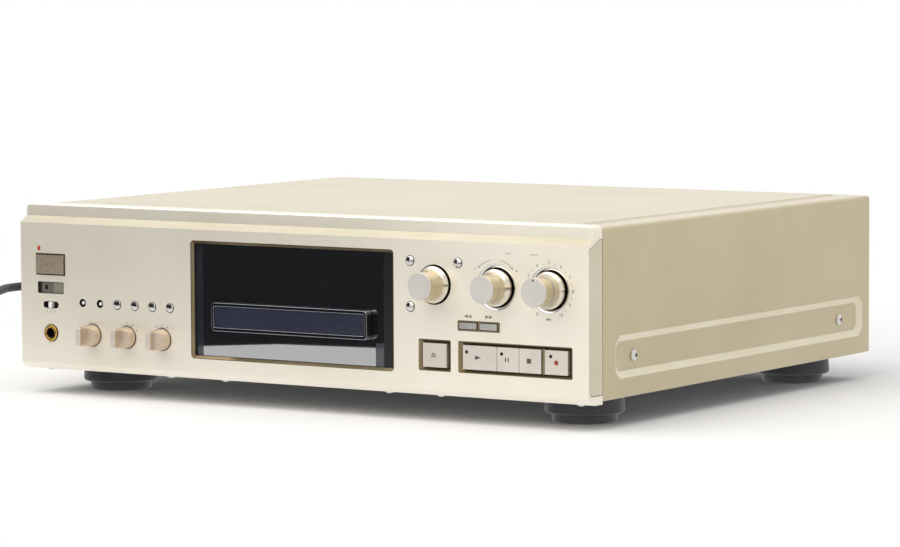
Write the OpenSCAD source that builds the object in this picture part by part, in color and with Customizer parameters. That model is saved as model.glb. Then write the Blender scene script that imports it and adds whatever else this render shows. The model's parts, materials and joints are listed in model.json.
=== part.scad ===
// Minidisc deck: a hi-fi separate with a disc tray, its controls, its drive and its mains lead.
// X runs to the right, Y to the back and Z up. Lengths are in millimetres.
// Pieces are drawn with the front face at y = 0; seat() then centres the deck on its origin.

/* [Case] */
// Width of the case and of the front panel
case_w = 430; // [420:1:450]
// Depth from the front face to the rear edge of the cover
case_d = 357; // [345:1:390]
// Height of the brow, the top bar of the front panel, above the table
brow_top = 123; // [121:0.5:130]
// Height of the front panel's bottom edge above the table
lip_z = 16; // [13:0.5:18]
// Sheet thickness of the cover, chassis and rear panel
sheet_t = 1.2; // [0.8:0.1:1.4]
// How far the cover's flat margin lies below the brow
cover_drop = 1.5; // [1:0.1:2.5]
// How far the cover's middle is raised above its margin
cover_raise = 1; // [0.6:0.1:1.4]
// Width of the cover's flat margin
margin_w = 19; // [12:1:40]
// Radius of the cover's long top edges
cover_r = 2.5; // [2:0.1:4]
// Depth of the pressed recess in each side of the cover
recess_d = 2.5; // [1.5:0.1:2.8]
// Height of the side recess
recess_h = 26; // [20:1:34]
// Length of the side recess
recess_l = 316; // [250:1:325]
// Height of the middle of the side recess above the table
recess_z = 42.5; // [38:0.5:50]

/* [Front panel] */
// Thickness of the front face
face_t = 1.8; // [1.4:0.1:2]
// Depth of the front panel, from face to rear edge
panel_d = 16.6; // [15:0.1:16.8]
// How far the brow stands behind the face
brow_in = 6.8; // [5:0.1:8]
// Height of the brow
brow_h = 7.9; // [7:0.1:9]
// Height of the sloping strip below the brow
slant_h = 4; // [3:0.1:5]
// Height of the rolled bottom edge
crease_h = 4.8; // [3:0.1:5]
// Depth of the rolled bottom edge
crease_d = 9; // [6:0.5:9.5]
// Height of the panel's solid bottom rail
rail_h = 5.4; // [5.2:0.1:7]
// Groove round the end caps
groove = 0.35; // [0.2:0.05:0.6]

/* [Window and tray] */
// Width of the window
win_w = 154.4; // [150:0.2:158]
// Space between the window and the sloping strip above it
win_drop = 6.9; // [5:0.1:9]
// Place of the window's middle across the face
win_x = -0.7; // [-3:0.1:3]
// Height of the window's bottom above the panel's bottom edge
win_rise = 13.6; // [12:0.1:15]
// Width of the bezel's border
bezel_w = 1.9; // [1.4:0.1:2.4]
// Depth of the glass behind the face
glass_y = 3.2; // [2.9:0.1:3.6]
// Thickness of the glass
glass_t = 3; // [2:0.1:3.2]
// Width of the tray's front block
tray_front_w = 118.2; // [117:0.1:128]
// Height of the tray's front block
tray_front_h = 18; // [17.6:0.1:19]
// How far the tray's front stands out from the panel
tray_proud = 3; // [2.5:0.1:4]
// Height of the middle of the tray's front block above the table
tray_z = 57; // [56.9:0.1:57.2]
// Width of the tray between its runners
tray_w = 104; // [100:0.5:104.5]
// Width of each runner
runner_w = 3; // [2.5:0.1:3.2]
// Length of the tray behind its front block
tray_l = 122.1; // [121:0.1:122.8]
// Thickness of the tray
tray_h = 10; // [9.6:0.1:10.4]
// How far the tray slides out
tray_stroke = 90; // [84:1:92]
// Width of the disc cartridge, across the tray
disc_w = 72; // [70:0.1:73]
// Length of the disc cartridge, along the tray
disc_l = 68; // [66:0.1:69]
// Thickness of the disc cartridge
disc_h = 5; // [4.8:0.1:5.2]
// Gap round the cartridge in its pocket
disc_gap = 0.5; // [0.3:0.1:0.7]

/* [Keys] */
// Clearance behind and round a moving piece
gap = 0.3; // [0.2:0.05:0.35]
// Travel of the small keys
key_travel = 1; // [0.6:0.1:1.2]
// Travel of the power key
power_travel = 2.5; // [1.5:0.1:2.8]
// Width of the power key's opening
power_w = 24; // [22:0.5:25]
// Height of the power key's opening
power_h = 14; // [12:0.5:15]
// Gap round the power key
power_gap = 0.9; // [0.5:0.1:1.2]
// Diameter of the openings for the small round keys
round_d = 6.5; // [6:0.1:7]
// Diameter of the openings for the two recessed keys
sunk_d = 5.3; // [5:0.1:6]
// Gap round the small keys
key_gap = 0.45; // [0.3:0.05:0.6]
// Distance from the panel's left edge to the middle of the power key
left_in = 24.5; // [22:0.5:26]
// Distance from the middle of the power key to the first key in the row
row_in = 26; // [25:0.1:27]
// Distance from the last key in the row to the window
row_out = 16.6; // [12:0.1:18]
// Height of the row of six keys
row_z = 60.6; // [59:0.1:63]
// Height of the eject and transport openings
deck_key_h = 19.3; // [18:0.1:20.5]
// Height of the middle of those openings above the table
deck_key_z = 41.2; // [40:0.1:42]
// Width of the bevel round the large keys
bevel_w = 2.2; // [1.6:0.1:2.6]
// Width of the eject opening
eject_w = 23.4; // [21:0.1:25]
// Distance from the window to the middle of the eject key
eject_in = 29.8; // [28:0.1:30.5]
// Space between the eject and transport openings
deck_key_gap = 5.3; // [3:0.1:6]
// Distance from the transport opening to the panel's right edge
transport_out = 10.7; // [9.5:0.1:12]
// Width of the pause and stop keys
small_key_w = 15.4; // [14.5:0.1:15.6]
// Width of the record key
rec_key_w = 16; // [15:0.1:16.5]
// Width of the bar between the stop and record keys
bar_w = 1.8; // [1.4:0.1:2.2]
// Width of the search keys' opening
search_w = 30.4; // [28:0.1:32]
// Height of the search keys' opening
search_h = 6.4; // [6:0.1:7]
// Width of the timer switch's slot
timer_w = 12.4; // [11.5:0.1:13]
// Height of the timer switch's slot
timer_h = 4.4; // [4:0.1:5]
// Step between the timer switch's three positions
timer_step = 3.1; // [2.6:0.1:3.3]

/* [Knobs] */
// Diameter of the three bar knobs
bar_knob_d = 14; // [13:0.1:14.6]
// How far a bar knob stands out
bar_knob_l = 15; // [12:0.1:17]
// Width of a bar knob's grip
grip_w = 3.4; // [2.6:0.1:4.2]
// Distance from the window to the middle of the jog knob
jog_in = 29.5; // [28:0.5:31]
// Distance from the middle of the level knob to the panel's right edge
level_in = 27; // [24:0.5:29]
// Diameter of the large knobs at the panel
knob_d = 22.6; // [20:0.1:23.4]
// Diameter of the large knobs at the front
knob_front_d = 17; // [15:0.1:18]
// How far a large knob stands out
knob_l = 16; // [14:0.1:17]
// How far the level knob stands out
level_l = 17.5; // [17.1:0.1:20]
// Gap round a large knob
knob_gap = 0.95; // [0.6:0.05:1.2]
// Diameter of the polished ring round the two level knobs
ring_d = 28.6; // [26.5:0.1:30]
// Diameter of a knob shaft
shaft_d = 6; // [5.5:0.1:6.5]
// Running clearance of a shaft in its bearing, on the radius
run = 0.05; // [0.02:0.01:0.08]

/* [Drive] */
// Module of the rack and its pinion
rack_m = 1; // [0.95:0.01:1.05]
// Teeth of the pinion
pinion_n = 16; // [16:1:17]
// Module of the motor gear and the large gear
gear_m = 0.8; // [0.75:0.01:0.82]
// Teeth of the large gear
gear_n = 36; // [34:1:37]
// Teeth of the motor gear
motor_n = 14; // [14:1:15]
// Play between meshing teeth
backlash = 0.2; // [0.14:0.02:0.3]
// Lift of the disc drive
lift = 5.5; // [5:0.1:5.8]
// Travel of the optical sled
sled_travel = 15; // [12:0.5:16]
// Diameter of the sled's guide rods and lead screw
rod_d = 3; // [2.6:0.1:3.2]

/* [Rear and feet] */
// Diameter of a phono socket
phono_d = 8.3; // [8:0.05:8.5]
// How far a phono socket stands out
phono_l = 8.5; // [7:0.1:10]
// Radius of the headphone socket's bore
phones_r = 3.2; // [3.18:0.01:3.3]
// Diameter of a foot
foot_d = 49; // [44:0.5:54]
// Diameter of a foot's sole
sole_d = 40; // [34:0.5:43]
// Height of a foot's sole
sole_h = 5.5; // [4:0.5:7]
// Distance from a foot's middle to the side of the case
foot_in = 37; // [28:0.5:50]
// Distance from the face to the front feet
foot_y = 56.6; // [50:0.1:64]
// Distance from the cover's rear edge to the rear feet
foot_rear = 38.1; // [34:0.1:50]
// Diameter of the side and rear screws
screw_d = 3; // [2.5:0.1:3.5]
// Diameter of the screws under the front panel
lip_screw_d = 2.8; // [2.4:0.1:3.2]
// Diameter of the foot screws
foot_screw_d = 3.4; // [3:0.1:3.8]
// How much wider than its screw a clearance hole is
screw_gap = 0.6; // [0.4:0.1:1]
// Diameter of the mains lead
cord_d = 7; // [6.4:0.1:7]

/* [Hidden] */
$fn = 48;

// Heights and depths that follow from the sizes above
wall_x = case_w / 2;
floor_z = lip_z + 1;
floor_top = floor_z + sheet_t;
cover_z = brow_top - cover_drop;
cover_y = panel_d + 0.4;
rear_y = case_d - sheet_t;
foot_x = wall_x - foot_in;
flange_x = wall_x - recess_d - sheet_t - gap;
rear_x = wall_x - sheet_t - gap;
brow_z = brow_top - brow_h;
slant_z = brow_z - slant_h;
crease_z = lip_z + crease_h;
rail_z = lip_z + rail_h;
throat_y = panel_d - 3.9;
throat_z = brow_z - 0.5;
face_y = (level_l - rear_y - phono_l) / 2;

// The carrier of the controls and the boards behind it
sub_y = 8;
sub_t = 2;
sub_x = wall_x - 9;
win_h = slant_z - win_drop - lip_z - win_rise;
win_z = slant_z - win_drop - win_h / 2;
win_left = win_x - win_w / 2;
win_right = win_x + win_w / 2;
board_y = 20;
board_t = 1.6;
switch_y = 16.6;
pot_y = 13;
bush_y = 7;

// Places of the controls on the face. A height keeps its share of the face between crease and slant
function share(z) = crease_z + (z - 20.8) / 90.3 * (slant_z - crease_z);
left_x = left_in - wall_x;
row_x = left_x + row_in;
row_pitch = (win_left - row_out - row_x) / 5;
power_z = share(84.4);
ir_size = [21.4, 7.6];
ir_z = share(69.3);
led_at = [left_x - 9.5, power_z + 10.3];
led_size = [1.8, 2.6];
timer_z = share(58.3);
phones_z = 40.1;
phones_hole_d = 11.4;
phones_ring_d = 10.4;
bar_knob_x = row_x + 7.5;
bar_knob_pitch = (row_x + 5 * row_pitch - 6.5 - bar_knob_x) / 2;
bar_knob_z = 40.3;
jog_x = win_right + jog_in;
knob_z = share(84.1);
level_x = wall_x - level_in;
knob_hole_d = knob_d + 2 * knob_gap;
// The digital knob stands nearer the level knob: two thirds of the way across the free space
digital_x = jog_x + (knob_hole_d + ring_d) / 2 + (level_x - jog_x - knob_hole_d / 2 - 1.5 * ring_d) * 0.6648;
menu_at = [jog_x - 17.3, knob_z + 13.9];
yes_at = [jog_x + 17.4, knob_z + 13.9];
clear_at = [jog_x - 17.3, knob_z - 14.1];
search_at = [digital_x - 12.3, share(60.2)];
eject_x = win_right + eject_in;
transport_w = wall_x - transport_out - eject_x - eject_w / 2 - deck_key_gap;
transport_x = wall_x - transport_out - transport_w / 2;
bar_hole_d = bar_knob_d + 1;
inner_h = deck_key_h - 2 * bevel_w + 0.6;
eject_inner_w = eject_w - 2 * bevel_w - 1;
transport_inner_w = transport_w - 2 * bevel_w - 1.4;
inner_left = transport_x - transport_inner_w / 2;
inner_right = transport_x + transport_inner_w / 2;
stop_w = min(small_key_w, transport_inner_w * 0.205);
rec_w = min(rec_key_w, transport_inner_w * 0.2135);
rec_x = inner_right - key_gap - rec_w / 2;
bar_x = rec_x - rec_w / 2 - key_gap - bar_w / 2;
stop_x = bar_x - bar_w / 2 - key_gap - stop_w / 2;
pause_x = stop_x - stop_w - gap;
play_w = pause_x - stop_w / 2 - gap - inner_left - key_gap;
play_x = inner_left + key_gap + play_w / 2;
search_key_w = search_w / 2 - 2.9;
search_dx = search_w / 4 - 0.3;
stem_d = 3;

// The tray and its drive
block_d = glass_y - 0.4;
carrier_z = tray_z - 3;
carrier_x = tray_w / 2 + runner_w;
pocket_y = 17;
pocket_w = disc_w + 2 * disc_gap;
pocket_l = disc_l + 2 * disc_gap;
pocket_z = carrier_z + tray_h - disc_h - 0.5;
disc_y = pocket_y + pocket_l / 2;
skin = 2;
rail_gap = 0.4;
mech_y0 = 14;
mech_y1 = block_d + tray_l + 10;
mech_wall = 3;
mech_x = carrier_x + rail_gap + mech_wall;
mech_z = carrier_z - 19;
mech_t = 1.5;
rack_pitch_x = 39;
rack_back_x = 43;
rack_z = carrier_z - 5.2;
pinion_r = rack_m * pinion_n / 2;
gear_r = gear_m * gear_n / 2;
motor_r = gear_m * motor_n / 2;
axle_at = [rack_pitch_x - pinion_r, 28];
motor_at = [axle_at[0] - gear_r - motor_r, axle_at[1]];
axle_d = 4;
gear_z = mech_z + 1;
gear_t = 3.8;
deck_z = carrier_z - 12.5;
deck_t = 1.5;
deck_x = 32;
deck_y = [disc_y - 12, disc_y + 60];
post_at = [28, disc_y - 2, disc_y + 54];
post_d = 4;
rod_x = 20;
rod_z = carrier_z - 7;
screw_x = 10;
sled_y = disc_y + 8.5;
sled_l = 16;
sled_x = 25;
motor_y = disc_y + 44;

// Boards and rear panel
board_z = floor_top + 10;
board_y0 = mech_y1 + 15;
power_board = [-wall_x + 15, board_y0, wall_x - 93, rear_y - board_y0 - 113.9];
main_board = [-64, board_y0 + 2, wall_x + 47, rear_y - sheet_t - 0.4 - board_y0 - 2];
trafo_at = [-wall_x + 55, rear_y - 66];
relief_at = [-foot_x, 48];
relief_l = 30;
phono_at = [for (p = [[-153, 58], [-153, 42], [-125, 58], [-125, 42], [-97, 50]]) [wall_x + p[0], p[1]]];
optical_x = [for (i = [2:-1:0]) wall_x - 33 - 19 * i];
optical_z = 46;
lid_screw_x = [-150, 0, 150];
lid_screw_z = cover_z - 8;
feet_at = [for (x = [-1, 1], y = [foot_y, case_d - foot_rear]) [x * foot_x, y]];
lip_screws = [-wall_x + 15, win_left - 25, win_left + 18, win_right - 11.5, win_right + 26.5, wall_x - 12];
lip_screw_y = 12;
foot_seat = 9;
foot_hole_r = (foot_screw_d + screw_gap) / 2;
post_z = slant_z - 5.1;
subframe_posts = [[-sub_x + 5, 33], [-sub_x + 5, post_z], [win_left - 10, 34], [win_left - 10, post_z],
    [win_right + 11.5, post_z], [sub_x - 7, post_z], [sub_x - 4, 27.6], [win_right + 11.5, 27.6]];

// The mains lead, in the deck's own frame: off the rear panel, down, and along the table
relief_end = [relief_at[0], face_y + rear_y + relief_l, relief_at[1]];
lead_z = cord_d / 2;
lead_points = [relief_end, [-178, 222, relief_at[1]], [-178, 236, 45], [-178, 251, 38.5], [-178.5, 265, 28.5],
    [-180, 278, 17.5], [-183, 292, 8.5], [-188, 308, 4.2], [-196, 326, lead_z], [-210, 347, lead_z],
    [-231, 368, lead_z], [-260, 387, lead_z], [-296, 401, lead_z], [-338, 410, lead_z],
    [-385, 417, lead_z], [-434, 424, lead_z], [-484, 432, lead_z], [-534, 441, lead_z],
    [-582, 450, lead_z], [-626, 456, lead_z], [-662, 455, lead_z], [-688, 445, lead_z],
    [-702, 427, lead_z], [-703, 404, lead_z], [-694, 383, lead_z], [-683, 362, lead_z],
    [-676, 340, lead_z], [-674, 317, lead_z], [-674, 296, lead_z]];
// The coil: two layers of two turns, wound in and out again
coil_at = [-712, 286];
coil_r = 38;
coil_turns = 4;
coil_step = cord_d + 0.6;
coil_rings = 24;
coil_tail = 27;

// ---- helpers ----
module seat() translate([0, face_y, 0]) children();
module slab(y0, y1) translate([0, y1, 0]) rotate([90, 0, 0]) linear_extrude(y1 - y0) children();
module along_x(x0, x1) translate([x0, 0, 0]) rotate([90, 0, 90]) linear_extrude(x1 - x0) children();
module rod_y(x, z, d, y0, y1) translate([x, y0, z]) rotate([-90, 0, 0]) cylinder(d = d, h = y1 - y0);
module rod_x(y, z, d, x0, x1) translate([x0, y, z]) rotate([0, 90, 0]) cylinder(d = d, h = x1 - x0);
module rod_z(x, y, d, z0, z1) translate([x, y, z0]) cylinder(d = d, h = z1 - z0);
module block(x, y, z) translate([x[0], y[0], z[0]]) cube([x[1] - x[0], y[1] - y[0], z[1] - z[0]]);
module spun(x, z) translate([x, 0, z]) rotate([-90, 0, 0]) rotate_extrude() children();
module rrect(w, h, r) {
    square([w - 2 * r, h], center = true);
    square([w, h - 2 * r], center = true);
    for (x = [-1, 1], z = [-1, 1]) translate([x * (w / 2 - r), z * (h / 2 - r)]) circle(r);
}
// A rectangular funnel from size a at y0 to size b at y1
module funnel(x, z, a, b, y0, y1) intersection() {
    translate([x, 0, z - a[1]]) linear_extrude(2 * a[1])
        polygon([[-a[0] / 2, y0], [a[0] / 2, y0], [b[0] / 2, y1], [-b[0] / 2, y1]]);
    along_x(x - a[0], x + a[0])
        polygon([[y0, z - a[1] / 2], [y0, z + a[1] / 2], [y1, z + b[1] / 2], [y1, z - b[1] / 2]]);
}
function bend(p0, p1, p2, n) = [for (i = [0:n]) let (t = i / n)
    (1 - t) * (1 - t) * p0 + 2 * t * (1 - t) * p1 + t * t * p2];
function arc(c, r, a0, a1, n) = [for (i = [0:n]) let (a = a0 + (a1 - a0) * i / n)
    c + r * [cos(a), sin(a)]];

// ---- case ----
module chassis_feet_holes() for (f = feet_at) rod_z(f[0], f[1], foot_screw_d, floor_z - 1, floor_top + 1);

module bottom_chassis() color("#8f9092") seat() difference() {
    union() {
        block([-flange_x, flange_x], [cover_y, rear_y], [floor_z, floor_top]);
        for (s = [-1, 1]) block([s > 0 ? flange_x - sheet_t : -flange_x, s > 0 ? flange_x : sheet_t - flange_x],
            [cover_y, rear_y - sheet_t], [floor_z, recess_z + recess_h / 2 + 3]);
        block([-flange_x, flange_x], [cover_y, cover_y + sheet_t], [floor_z, floor_z + 6]);
        for (b = [power_board, main_board], x = [8, b[2] - 8], y = [8, b[3] - 8])
            rod_z(b[0] + x, b[1] + y, 7, floor_top, board_z);
    }
    chassis_feet_holes();
    for (s = [-1, 1], f = [0, 1])
        rod_x(feet_at[f][1], recess_z - 0.5, screw_d, s * flange_x - 3, s * flange_x + 3);
    for (i = [0:11]) block([mech_x + 12 + 11 * i, mech_x + 16 + 11 * i], [mech_y1 - 40, mech_y1],
        [floor_z - 1, floor_top + 1]);
}

module rear_panel() color("#4a4b4d") seat() difference() {
    block([-rear_x, rear_x], [rear_y - sheet_t, rear_y], [floor_top, cover_z - sheet_t]);
    for (p = phono_at) rod_y(p[0], p[1], phono_d + 0.8, rear_y - 3, rear_y + 1);
    for (x = optical_x) translate([x, 0, optical_z]) slab(rear_y - 3, rear_y + 1) square([10, 9], center = true);
    rod_y(relief_at[0], relief_at[1], cord_d + 6, rear_y - 3, rear_y + 1);
    for (x = lid_screw_x) rod_y(x, lid_screw_z, screw_d, rear_y - 3, rear_y + 1);
    for (i = [0:13]) block([-110 + 8 * i, -106 + 8 * i], [rear_y - 3, rear_y + 1], [40, 76]);
}

// The cover's outside, e inside its own surface
module cover_body(e) {
    x = wall_x - e;
    z = cover_z - e;
    r = cover_r - e;
    translate([0, case_d + (e > 0 ? 1 : 0), 0]) rotate([90, 0, 0])
        linear_extrude(case_d - cover_y + (e > 0 ? 2 : 0)) union() {
            translate([-x, floor_z + (e > 0 ? -1 : 1)]) square([2 * x, z - r - floor_z - (e > 0 ? -1 : 1)]);
            translate([r - x, z - r - 1]) square([2 * x - 2 * r, r + 1]);
            for (s = [-1, 1]) translate([s * (x - r), z - r]) circle(r);
        }
    raised_x = wall_x - margin_w - e / 2;
    intersection() {
        slab(cover_y - (e > 0 ? 1 : 0), case_d - 11) polygon([[-raised_x, z - 0.2], [raised_x, z - 0.2],
            [raised_x - 3, z + cover_raise], [3 - raised_x, z + cover_raise]]);
        along_x(-wall_x, wall_x) polygon([[cover_y - 2, z - 1], [case_d - 11 - e / 2, z - 1],
            [case_d - 11 - e / 2, z], [case_d - 14 - e / 2, z + cover_raise], [cover_y - 2, z + cover_raise]]);
    }
}
// One pressed side recess, grown by e
module side_recess(s, e) {
    y = (cover_y + case_d) / 2 + 2.5;
    outline = function (w, h, c) [[c - w / 2, -h / 2], [w / 2 - c, -h / 2], [w / 2, c - h / 2], [w / 2, h / 2 - c],
        [w / 2 - c, h / 2], [c - w / 2, h / 2], [-w / 2, h / 2 - c], [-w / 2, c - h / 2]];
    translate([0, y, recess_z]) hull() {
        along_x(s > 0 ? wall_x : -wall_x - 0.1, s > 0 ? wall_x + 0.1 : -wall_x)
            polygon(outline(recess_l + 2 * e, recess_h + 2 * e, 5));
        along_x(s > 0 ? wall_x - recess_d - e : recess_d + e - wall_x - 0.1,
            s > 0 ? wall_x - recess_d - e + 0.1 : recess_d + e - wall_x)
            polygon(outline(recess_l - 9 + 2 * e, recess_h - 8 + 2 * e, 3));
    }
}

module top_cover() color("#d9d2b8") seat() difference() {
    union() {
        difference() {
            cover_body(0);
            difference() {
                cover_body(sheet_t);
                for (s = [-1, 1]) side_recess(s, sheet_t);
            }
        }
        block([flange_x * -1 + 5, flange_x - 5], [rear_y, case_d], [cover_z - 14, cover_z - sheet_t / 2]);
    }
    for (s = [-1, 1]) {
        side_recess(s, 0);
        for (f = [0, 1]) rod_x(feet_at[f][1], recess_z - 0.5, screw_d + screw_gap,
            s * (wall_x - 3) - 3, s * (wall_x - 3) + 3);
    }
    for (x = lid_screw_x) rod_y(x, lid_screw_z, screw_d + screw_gap, rear_y - 1, case_d + 1);
    for (p = [[left_x + 22.5, 14], [win_left - 15, 10]]) block([p[0], p[0] + 6], [cover_y + p[1], cover_y + p[1] + 1.2],
        [cover_z - 3, cover_z + 3]);
}

// Outline of the front panel's extrusion, in Y and Z
function panel_outside() = concat(
    bend([crease_d, lip_z], [crease_d / 3, lip_z], [0, crease_z], 6),
    [[0, slant_z], [brow_in, brow_z]],
    arc([brow_in + 1.4, brow_top - 1.4], 1.4, 180, 90, 4),
    [[panel_d, brow_top]]);
function panel_throat(g, back) = [[back, throat_z - g], [throat_y, throat_z - g],
    [face_t + g, throat_z - g - (throat_y - face_t) / 2], [face_t + g, rail_z + g + 1.6],
    [face_t + g + 2.3, rail_z + g], [back, rail_z + g]];

module surround_outline(fit) {
    translate([eject_x, deck_key_z]) rrect(eject_w - fit, deck_key_h - fit, 1);
    translate([transport_x, deck_key_z]) rrect(transport_w - fit, deck_key_h - fit, 1);
    translate(search_at) rrect(search_w - fit, search_h - fit, 1);
}

module front_panel() color("#cfc7ae") seat() difference() {
    along_x(-wall_x, wall_x) difference() {
        polygon(concat(panel_outside(), [[panel_d, lip_z]]));
        polygon(panel_throat(0, panel_d + 1));
    }
    for (s = [-1, 1]) difference() {
        block([s > 0 ? wall_x - 4 : -wall_x - 1, s > 0 ? wall_x + 1 : 4 - wall_x], [-1, panel_d + 1],
            [brow_top - 4, brow_top + 1]);
        rod_y(s * (wall_x - 4), brow_top - 4, 8, -2, panel_d + 2);
    }
    slab(-1, face_t + 0.1) {
        translate([win_x, win_z]) rrect(win_w, win_h, 2.5);
        translate([left_x, power_z]) rrect(power_w, power_h, 0.6);
        translate([left_x, ir_z]) rrect(ir_size[0], ir_size[1], 0.8);
        translate([left_x, timer_z]) rrect(timer_w, timer_h, timer_h / 2 - 0.1);
        translate([left_x, phones_z]) circle(d = phones_hole_d);
        translate(led_at) rrect(led_size[0] + 0.4, led_size[1] + 0.4, 0.4);
        for (i = [0:5]) translate([row_x + i * row_pitch, row_z]) circle(d = i < 2 ? sunk_d : round_d);
        for (i = [0:2]) translate([bar_knob_x + i * bar_knob_pitch, bar_knob_z]) circle(d = bar_hole_d);
        for (p = [menu_at, yes_at, clear_at]) translate(p) circle(d = round_d);
        for (x = [jog_x, digital_x, level_x]) translate([x, knob_z]) circle(d = knob_hole_d);
        surround_outline(0);
    }
    for (x = [digital_x, level_x]) spun(x, knob_z)
        polygon([[0, -0.5], [ring_d / 2 + 0.5, -0.5], [knob_hole_d / 2 - 0.1, 1.4], [0, 1.4]]);
    for (x = lip_screws) rod_z(x, lip_screw_y, lip_screw_d + screw_gap, lip_z - 1, rail_z + 1);
}

module end_caps() color("#c9c0a4") seat() for (s = [-1, 1]) mirror([s < 0 ? 1 : 0, 0, 0]) {
    along_x(wall_x - 2, wall_x) polygon(panel_throat(groove, panel_d));
    along_x(wall_x - 4, wall_x - 2) polygon(panel_throat(0, panel_d));
}

module front_subframe() color("#222326") seat() difference() {
    union() {
        block([-sub_x, sub_x], [sub_y, sub_y + sub_t], [rail_z, throat_z - (throat_y - sub_y) / 2 - gap]);
        block([-sub_x, sub_x], [sub_y, cover_y], [rail_z, rail_z + 2.6]);
        for (p = subframe_posts) rod_y(p[0], p[1], 6, sub_y, board_y);
        for (x = [win_left - 22, win_left + 18, win_right - 16.5, win_right + 23.5]) block([x - 1, x + 1], [sub_y, cover_y], [rail_z, rail_z + 6]);
    }
    slab(sub_y - 1, sub_y + sub_t + 1) {
        translate([win_x, win_z]) square([win_w + 0.6, win_h + 0.6], center = true);
        translate([left_x, power_z]) circle(d = 5 + 2 * gap);
        translate([left_x, timer_z]) square([2 + 2 * timer_step + 1, 3], center = true);
        translate([left_x, phones_z]) circle(d = 9.4);
        translate(led_at) square([led_size[0] + 0.6, led_size[1] + 0.6], center = true);
        for (i = [0:5]) translate([row_x + i * row_pitch, row_z]) circle(d = stem_d + 2 * gap);
        for (p = [menu_at, yes_at, clear_at]) translate(p) circle(d = stem_d + 2 * gap);
        for (s = [-1, 1]) translate([search_at[0] + s * search_dx, search_at[1]]) circle(d = stem_d + 2 * gap);
        for (x = [eject_x, play_x, pause_x, stop_x, rec_x]) translate([x, deck_key_z]) circle(d = stem_d + 2 * gap);
        for (i = [0:2]) translate([bar_knob_x + i * bar_knob_pitch, bar_knob_z]) circle(d = shaft_d + 3.6);
        for (x = [jog_x, digital_x]) translate([x, knob_z]) circle(d = shaft_d + 3.6);
        translate([level_x, knob_z]) circle(d = shaft_d + 5.6);
    }
    for (x = lip_screws) rod_z(x, lip_screw_y, lip_screw_d, rail_z - 1, rail_z + 2.6);
}

// ---- window ----
module window_bezel() color("#8d7c5c") seat() difference() {
    union() {
        translate([win_x, 0, win_z]) slab(0.1, glass_y + glass_t) rrect(win_w - 0.2, win_h - 0.2, 2.4);
        translate([win_x, 0, win_z]) slab(face_t, face_t + 1.2) rrect(win_w + 3, win_h + 3, 2.4);
    }
    funnel(win_x, win_z, [win_w - 0.2, win_h - 0.2], [win_w - 2 * bezel_w, win_h - 2 * bezel_w], -0.3, 1.6);
    translate([win_x, 0, win_z]) slab(1.5, glass_y + glass_t + 1)
        rrect(win_w - 2 * bezel_w, win_h - 2 * bezel_w, 1);
}

module window_glass() color("#15161a") seat() difference() {
    translate([win_x, 0, win_z]) slab(glass_y, glass_y + glass_t)
        rrect(win_w - 2 * bezel_w, win_h - 2 * bezel_w, 1);
    block([win_x - carrier_x - 0.8, win_x + carrier_x + 0.8], [glass_y - 1, glass_y + glass_t + 1],
        [rack_z - 0.6, carrier_z + tray_h + 0.8]);
}

module display_module() color("#2b3a3c") seat() translate([win_x, 0, 0]) {
    z0 = carrier_z + tray_h + 8;
    top = win_z + win_h / 2 - z0 - 6.2;
    block([-60, 60], [glass_y + glass_t + 2, board_y - 1], [z0 + 2, z0 + top - 1]);
    block([-72, 72], [board_y - 1, board_y + 0.6], [z0 - 1, win_z + win_h / 2]);
    for (x = [-1, 1]) block([x * 81.2 - 2.5, x * 81.2 + 2.5], [sub_y + sub_t, board_y - 1], [z0, z0 + top]);
    for (x = [-1, 1]) block([x * 75.6 - 8, x * 75.6 + 8], [board_y - 1, board_y + 0.6], [z0 + 4, z0 + top - 6]);
}

module key_surrounds() color("#97876a") seat() {
    difference() {
        union() {
            slab(0, 4.6) surround_outline(0.1);
            translate([eject_x, 0, deck_key_z]) slab(face_t, 4.6) rrect(eject_w + 2.4, deck_key_h + 2.4, 1);
            translate([transport_x, 0, deck_key_z]) slab(face_t, 4.6)
                rrect(transport_w + 2.4, deck_key_h + 2.4, 1);
            translate([search_at[0], 0, search_at[1]]) slab(face_t, 4.6)
                rrect(search_w + 2, search_h + 2, 1);
        }
        funnel(eject_x, deck_key_z, [eject_w - 0.8, deck_key_h - 0.8], [eject_inner_w, inner_h], -0.01, 2.4);
        funnel(transport_x, deck_key_z, [transport_w - 0.8, deck_key_h - 0.8],
            [transport_inner_w, inner_h], -0.01, 2.4);
        translate([eject_x, 0, deck_key_z]) slab(2.3, 5) square([eject_inner_w, inner_h], center = true);
        translate([transport_x, 0, deck_key_z]) slab(2.3, 5) difference() {
            square([transport_inner_w, inner_h], center = true);
            translate([bar_x - transport_x, 0]) square([bar_w, inner_h + 1], center = true);
        }
        for (s = [-1, 1]) translate([search_at[0] + s * search_dx, 0, search_at[1]])
            slab(-1, 5) square([search_key_w + 2 * key_gap, search_h - 1.6], center = true);
    }
    block([bar_x - bar_w / 2, bar_x + bar_w / 2], [0.9, 2.4], [deck_key_z - inner_h / 2, deck_key_z + inner_h / 2]);
}

module ir_window() color("#5c5a4e") seat() translate([left_x, 0, ir_z]) {
    slab(1, face_t) rrect(ir_size[0] - 0.3, ir_size[1] - 0.3, 0.7);
    slab(face_t, face_t + 1.8) rrect(ir_size[0] + 2, ir_size[1] + 2, 0.7);
    slab(face_t + 1.8, sub_y) square([ir_size[0] - 6, ir_size[1] - 3], center = true);
}

module phones_jack() color("#c8a75a") seat() difference() {
    union() {
        rod_y(left_x, phones_z, phones_ring_d, -1, 1.6);
        rod_y(left_x, phones_z, 9, 1.6, 12);
        block([left_x - 7, left_x + 7], [12, board_y], [phones_z - 7, phones_z + 7]);
    }
    rod_y(left_x, phones_z, 2 * phones_r, -2, 18);
}

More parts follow.
